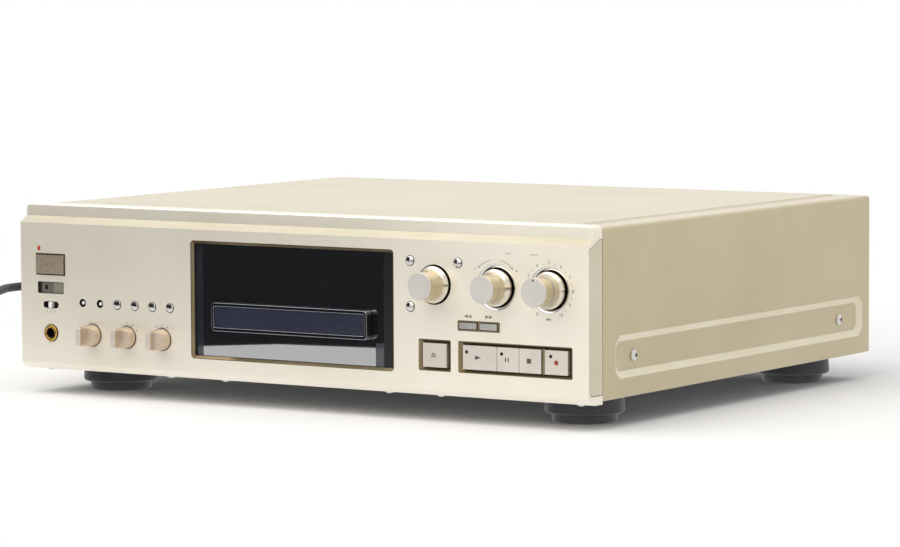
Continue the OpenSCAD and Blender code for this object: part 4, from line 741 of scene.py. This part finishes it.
# A triangle that points to an angle, clockwise from the top
def arrow(bm, x, z, long, wide, pointing):
    a = radians(pointing)
    along, across = Vector((sin(a), cos(a))), Vector((cos(a), -sin(a)))
    middlePoint = Vector((x, z))
    patch(bm, [middlePoint + along * long / 2, middlePoint - along * long / 2 + across * wide / 2,
               middlePoint - along * long / 2 - across * wide / 2])


def polar(x, z, radius, angle):
    return x + radius * sin(radians(angle)), z + radius * cos(radians(angle))


def digits(bm, text, x, z, tall):
    curve = bpy.data.curves.new("digits", "FONT")
    curve.body = text
    curve.size = tall / 0.7 * mm  # a figure is 0.7 of the type's size
    curve.align_x, curve.align_y = "CENTER", "CENTER"
    holder = bpy.data.objects.new("digits", curve)
    bpy.context.scene.collection.objects.link(holder)
    bpy.context.view_layer.update()
    flat = bpy.data.meshes.new_from_object(holder.evaluated_get(bpy.context.evaluated_depsgraph_get()))
    bpy.data.objects.remove(holder)
    flat.transform(Matrix.Translation(at(x, 0, z)) @ Matrix.Rotation(pi / 2, 4, "X"))
    bm.from_mesh(flat)


def layMarks(name, bm, front, body, slot, material, thick=0.06):
    for face in bm.faces:
        face.normal_update()
        if face.normal.y > 0:
            face.normal_flip()
    bmesh.ops.translate(bm, vec=(0, front * mm, 0), verts=bm.verts)
    data = bpy.data.meshes.new(name)
    bm.to_mesh(data)
    bm.free()
    piece = addObject(name, data, body, slot, material)
    solid = piece.modifiers.new("thickness", "SOLIDIFY")
    solid.thickness = thick * mm
    solid.offset = -1


markStyle = {
    "height": 0.03,          # how far print stands off its surface
    "levelFigures": 16.7,    # radius of the dial's figures
    "digitalArc": 16.9,
    "stroke": 0.3,
}


def panelMarks():
    bm = bmesh.new()
    stroke = markStyle["stroke"]
    for x in (-193.5, -190.2, -187.3):  # the switch's three places
        bar(bm, x - stroke / 2, x + stroke / 2, 53, 54.9)
    for knobX in (-129, -101):  # four places round each selector
        for angle in (-30, 0, 30, 60):
            dot(bm, *polar(knobX, 40.3, 9, angle), 0.42, 16)
    for side in (-1, 1):  # arrows of the digital level, less and more
        arc(bm, digitalX, knobHeight, markStyle["digitalArc"], side * 12, side * 44, stroke)
        arrow(bm, *polar(digitalX, knobHeight, markStyle["digitalArc"], side * 45), 1.7, 1.2, side * 138)
        x, z = polar(digitalX, knobHeight, markStyle["digitalArc"] + 1.3, side * 54)
        bar(bm, x - 0.75, x + 0.75, z - stroke / 2, z + stroke / 2)
        if side > 0:
            bar(bm, x - stroke / 2, x + stroke / 2, z - 0.75, z - stroke / 2)
            bar(bm, x - stroke / 2, x + stroke / 2, z + stroke / 2, z + 0.75)
    for i in range(11):  # the level's figures with a dot halfway between
        angle = -150 + 30 * i
        digits(bm, str(i), *polar(levelX, knobHeight, markStyle["levelFigures"], angle), 2)
        if i < 10:
            dot(bm, *polar(levelX, knobHeight, markStyle["levelFigures"] - 0.6, angle + 15), 0.32, 16)
    arrow(bm, 186.5, 66.8, 1.8, 1.6, -90)
    arrow(bm, 188.6, 66.8, 1.8, 1.6, 90)
    bar(bm, 157.3, 161.5, 104.75, 105.05)
    bar(bm, 175, 180.2, 104.75, 105.05)
    for x in (128.9, 131.6):  # search backwards and forwards
        arrow(bm, x, 66, 2.7, 2.3, -90)
    for x in (144.2, 146.9):
        arrow(bm, x, 66.2, 2.7, 2.3, 90)
    layMarks("panel_marks", bm, -markStyle["height"], "deck", nodeSlot["front_panel"], "ink")


panelMarks()


# The keys' own symbols ride on the keys
def keyMark(name, key, front, material, draw):
    bm = bmesh.new()
    draw(bm)
    layMarks(name, bm, front - markStyle["height"], nodeBody[key], nodeSlot[key], material)


def ejectSign(bm):
    x, z = 105.4, 41.4
    outer = [(x - 1.9, z - 0.4), (x + 1.9, z - 0.4), (x, z + 1.5)]
    for i in range(3):  # an outline triangle from three thin sides
        a, b = Vector(outer[i]), Vector(outer[(i + 1) % 3])
        heart = Vector((x, z + 0.25))
        patch(bm, [a, b, b + (heart - b) * 0.55, a + (heart - a) * 0.55])
    bar(bm, x - 1.9, x + 1.9, z - 1.5, z - 1.0)


def pauseSign(bm):
    for x in (157.1, 159.1):
        bar(bm, x - 0.4, x + 0.4, 39.75, 42.45)


def powerSign(bm):
    stroke = 0.35
    bar(bm, -194.7 - stroke / 2, -194.7 + stroke / 2, 83.1, 85.7)
    patch(bm, [(-192.8, 83.1), (-192.45, 83.1), (-191.5, 85.7), (-191.85, 85.7)])
    arc(bm, -188.9, 84.4, 1.05, 0, 360, stroke, 32)


keyMark("eject_sign", "eject_key", 0, "keyInk", ejectSign)
keyMark("play_sign", "play_key", 0, "keyInk", lambda bm: arrow(bm, 137.6, 41.3, 4.4, 2.7, 90))
keyMark("pause_sign", "pause_key", 0, "keyInk", pauseSign)
keyMark("stop_sign", "stop_key", 0, "keyInk", lambda bm: bar(bm, 172.15, 175.25, 39.75, 42.65))
keyMark("record_sign", "record_key", 0, "red", lambda bm: dot(bm, 192.9, 41.2, 1.5, 32))
keyMark("power_sign", "power_key", -1.4, "ink", powerSign)
keyMark("level_dot", "level_knob", -17.3, "darkRed",
        lambda bm: dot(bm, levelDot["x"], levelDot["z"], levelDot["radius"], 24))
for key, x, z in (("play_key", 129.4, 44.5), ("pause_key", 154.4, 44.5), ("record_key", 189, 44.8)):
    keyMark(key + "_lamp", key, 0, "hole", lambda bm: dot(bm, x, z, 1.1, 24))
print("marks laid")


# Sheets laid just proud of the dark glass and the remote window: a painted reflection, a paler patch and a
# painted shade near the glass's ends, and on the remote window the sensor, a painted shadow and a painted
# highlight
thinSheets = {
    # painted reflection: a grey strip where the recess wall is mirrored in the glass
    "left_film": {"on": "window_glass", "x": (-76, -70.5), "z": (31.6, 102.2), "front": 3.18,
                  "material": "glassStrip"},
    # a paler grey patch low on the right end of the glass
    "right_film": {"on": "window_glass", "x": (60.9, 67), "z": (31.6, 46), "front": 3.18,
                   "material": "glassPale"},
    # painted shade: a matt black sheet where the glass shows no reflection
    "right_mask": {"on": "window_glass", "x": (67, 74.5), "z": (31.6, 102.2), "front": 3.17,
                   "material": "glassShadeSheet"},
    # painted shadow of the recess wall at the window's left end
    "sensor_edge": {"on": "ir_window", "x": (-200.9, -198.5), "z": (65.8, 72.8), "front": 0.98,
                    "material": "irDark"},
    "sensor_eye": {"on": "ir_window", "x": (-196.1, -193.4), "z": (68, 70.8), "front": 0.97,
                   "material": "irDark"},
    # painted highlight on the right part of the remote window
    "sensor_pale": {"on": "ir_window", "x": (-189, -180.2), "z": (65.8, 72.8), "front": 0.98,
                    "material": "irPale"},
}
for name, film in thinSheets.items():
    sheet = bmesh.new()
    bar(sheet, *film["x"], *film["z"])
    layMarks(name, sheet, film["front"], "deck", nodeSlot[film["on"]], film["material"], 0.1)

# The headphone socket's rim: a rounded gilt bead
rim = {"inner": 3.3, "outer": 5.1, "front": -1.4, "back": -0.9}


def makeRim():
    bm = bmesh.new()
    inner, outer, front, back = (rim[k] for k in ("inner", "outer", "front", "back"))
    outline = [(outer, back), (outer, front + 0.3), (outer - 0.25, front + 0.05),
               ((inner + outer) / 2, front), (inner + 0.3, front + 0.1), (inner, front + 0.45), (inner, back)]
    verts = [bm.verts.new(at(leftX + r, y, socketHeight)) for r, y in outline]
    edges = [bm.edges.new(pair) for pair in zip(verts, verts[1:] + verts[:1])]
    bmesh.ops.spin(bm, geom=verts + edges, cent=at(leftX, 0, socketHeight), axis=(0, 1, 0), angle=2 * pi,
                   steps=48, use_merge=True)
    bmesh.ops.remove_doubles(bm, verts=bm.verts, dist=0.001 * mm)
    bmesh.ops.recalc_face_normals(bm, faces=bm.faces)
    addObject("phones_rim", finishMesh(bm, "phones_rim", 50), "deck", nodeSlot["phones_jack"], "gilt")


makeRim()
print("films and rim placed")

studio = {
    "floor": "#F7F6F4",
    "world": 0.40,
    "floorGlow": 0.04,  # how much of the plain white the camera sees close to the deck
    "glowFrom": 0.36,   # and the distances between which the floor turns white
    "glowTo": 0.7,
    "key": {"place": (-0.7, -1.7, 2.1), "aim": (0, 0, 0.05), "size": (4.0, 3.0), "power": 58},
    "top": {"place": (0.3, 0.1, 2.2), "aim": (0, 0, 0), "size": (3.6, 3.2), "power": 30},
    "card": [(-1.6, -0.25), (-0.75, -0.38), (-0.40, -0.415), (-0.285, -0.449), (-0.243, -0.49),
             (-0.163, -0.505), (-0.10, -0.508)],
    "cardHeight": 0.36,
    "sheet": ((-0.1, 2.5), (-3.0, -0.52)),
    "cardColour": "#15161A",
}


# One for the kinds of ray that are named, such as those from the camera or a mirror, and nought for others
def seenBy(tree, *kinds):
    path = addNode(tree, "LightPath")
    seen = path.outputs[kinds[0]]
    for kind in kinds[1:]:
        seen = addNode(tree, "Math", {}, {0: seen, 1: path.outputs[kind]}, operation="MAXIMUM").outputs[0]
    # but not after a bounce off something dull, which would light the shadow under the deck
    straight = addNode(tree, "Math", {1: 0.5}, {0: path.outputs["Diffuse Depth"]}, operation="LESS_THAN")
    return addNode(tree, "Math", {}, {0: seen, 1: straight.outputs[0]}, operation="MULTIPLY").outputs[0]


def makeWorld():
    world = bpy.data.worlds.new("studio")
    world.use_nodes = True
    tree = world.node_tree
    tree.nodes.clear()
    plain = addNode(tree, "Background", {"Color": (1, 1, 1, 1), "Strength": studio["world"]})
    white = addNode(tree, "Background", {"Color": (1, 1, 1, 1), "Strength": 1})
    seen = seenBy(tree, "Is Camera Ray", "Is Glossy Ray", "Is Transmission Ray")
    mix = addNode(tree, "MixShader", {}, {"Fac": seen, 1: plain.outputs[0], 2: white.outputs[0]})
    addNode(tree, "OutputWorld", {}, {"Surface": mix.outputs[0]})
    bpy.context.scene.world = world


def addStage(name, bm, material):
    piece = bpy.data.objects.new(name, finishMesh(bm, name))
    piece.data.materials.append(material)
    bpy.context.scene.collection.objects.link(piece)
    return piece


# A white table: plain paint with the deck's shadow on it, turning to pure white away from the deck
def makeFloor():
    material = bpy.data.materials.new("white_table")
    material.use_nodes = True
    tree = material.node_tree
    tree.nodes.remove(tree.nodes["Principled BSDF"])
    paper = addNode(tree, "BsdfDiffuse", {"Color": linearColour(studio["floor"])})
    glow = addNode(tree, "Emission", {"Color": (1, 1, 1, 1), "Strength": 1})
    place = addNode(tree, "TexCoord").outputs["Object"]
    away = addNode(tree, "VectorMath", {}, {0: place}, operation="LENGTH")
    white = addNode(tree, "MapRange", {"From Min": studio["glowFrom"], "From Max": studio["glowTo"],
                                       "To Min": studio["floorGlow"]}, {"Value": away.outputs["Value"]},
                    interpolation_type="SMOOTHSTEP")
    direct = addNode(tree, "Math", {}, {0: white.outputs[0], 1: seenBy(tree, "Is Camera Ray")},
                     operation="MULTIPLY")
    mirror = seenBy(tree, "Is Glossy Ray", "Is Transmission Ray")
    share = addNode(tree, "Math", {}, {0: direct.outputs[0], 1: mirror}, operation="MAXIMUM")
    mix = addNode(tree, "MixShader", {}, {"Fac": share.outputs[0], 1: paper.outputs[0], 2: glow.outputs[0]})
    tree.links.new(mix.outputs[0], tree.nodes["Material Output"].inputs["Surface"])
    bm = bmesh.new()
    bmesh.ops.create_grid(bm, x_segments=1, y_segments=1, size=6)
    addStage("floor", bm, material)


# Dark cards in front of the deck that only reflections see: they give the glass its black and the panel
# its change of tone
def makeCards():
    material = bpy.data.materials.new("black_card")
    material.use_nodes = True
    shader = material.node_tree.nodes["Principled BSDF"]
    shader.inputs["Base Color"].default_value = linearColour(studio["cardColour"])
    shader.inputs["Roughness"].default_value = 0.9
    bm = bmesh.new()
    foot = [bm.verts.new((x, y, 0.002)) for x, y in studio["card"]]
    edges = [bm.edges.new(pair) for pair in zip(foot, foot[1:])]
    raised = bmesh.ops.extrude_edge_only(bm, edges=edges)["geom"]
    bmesh.ops.translate(bm, vec=(0, 0, studio["cardHeight"]),
                        verts=[part for part in raised if isinstance(part, bmesh.types.BMVert)])
    (left, right), (near, far) = studio["sheet"]
    corners = ((left, near), (right, near), (right, far), (left, far))
    bm.faces.new([bm.verts.new((x, y, 0.002)) for x, y in corners])
    card = addStage("black_cards", bm, material)
    card.visible_camera = card.visible_diffuse = card.visible_shadow = card.visible_transmission = False


def makeLamp(name, place, aim, size, power):
    data = bpy.data.lights.new(name, "AREA")
    data.shape = "RECTANGLE"
    data.size, data.size_y = size
    data.energy = power
    lamp = bpy.data.objects.new(name, data)
    lamp.location = place
    lamp.rotation_euler = (Vector(aim) - Vector(place)).to_track_quat("-Z", "Y").to_euler()
    bpy.context.scene.collection.objects.link(lamp)


makeWorld()
makeFloor()
makeCards()
makeLamp("key_light", **studio["key"])
makeLamp("top_light", **studio["top"])
print("studio lit")
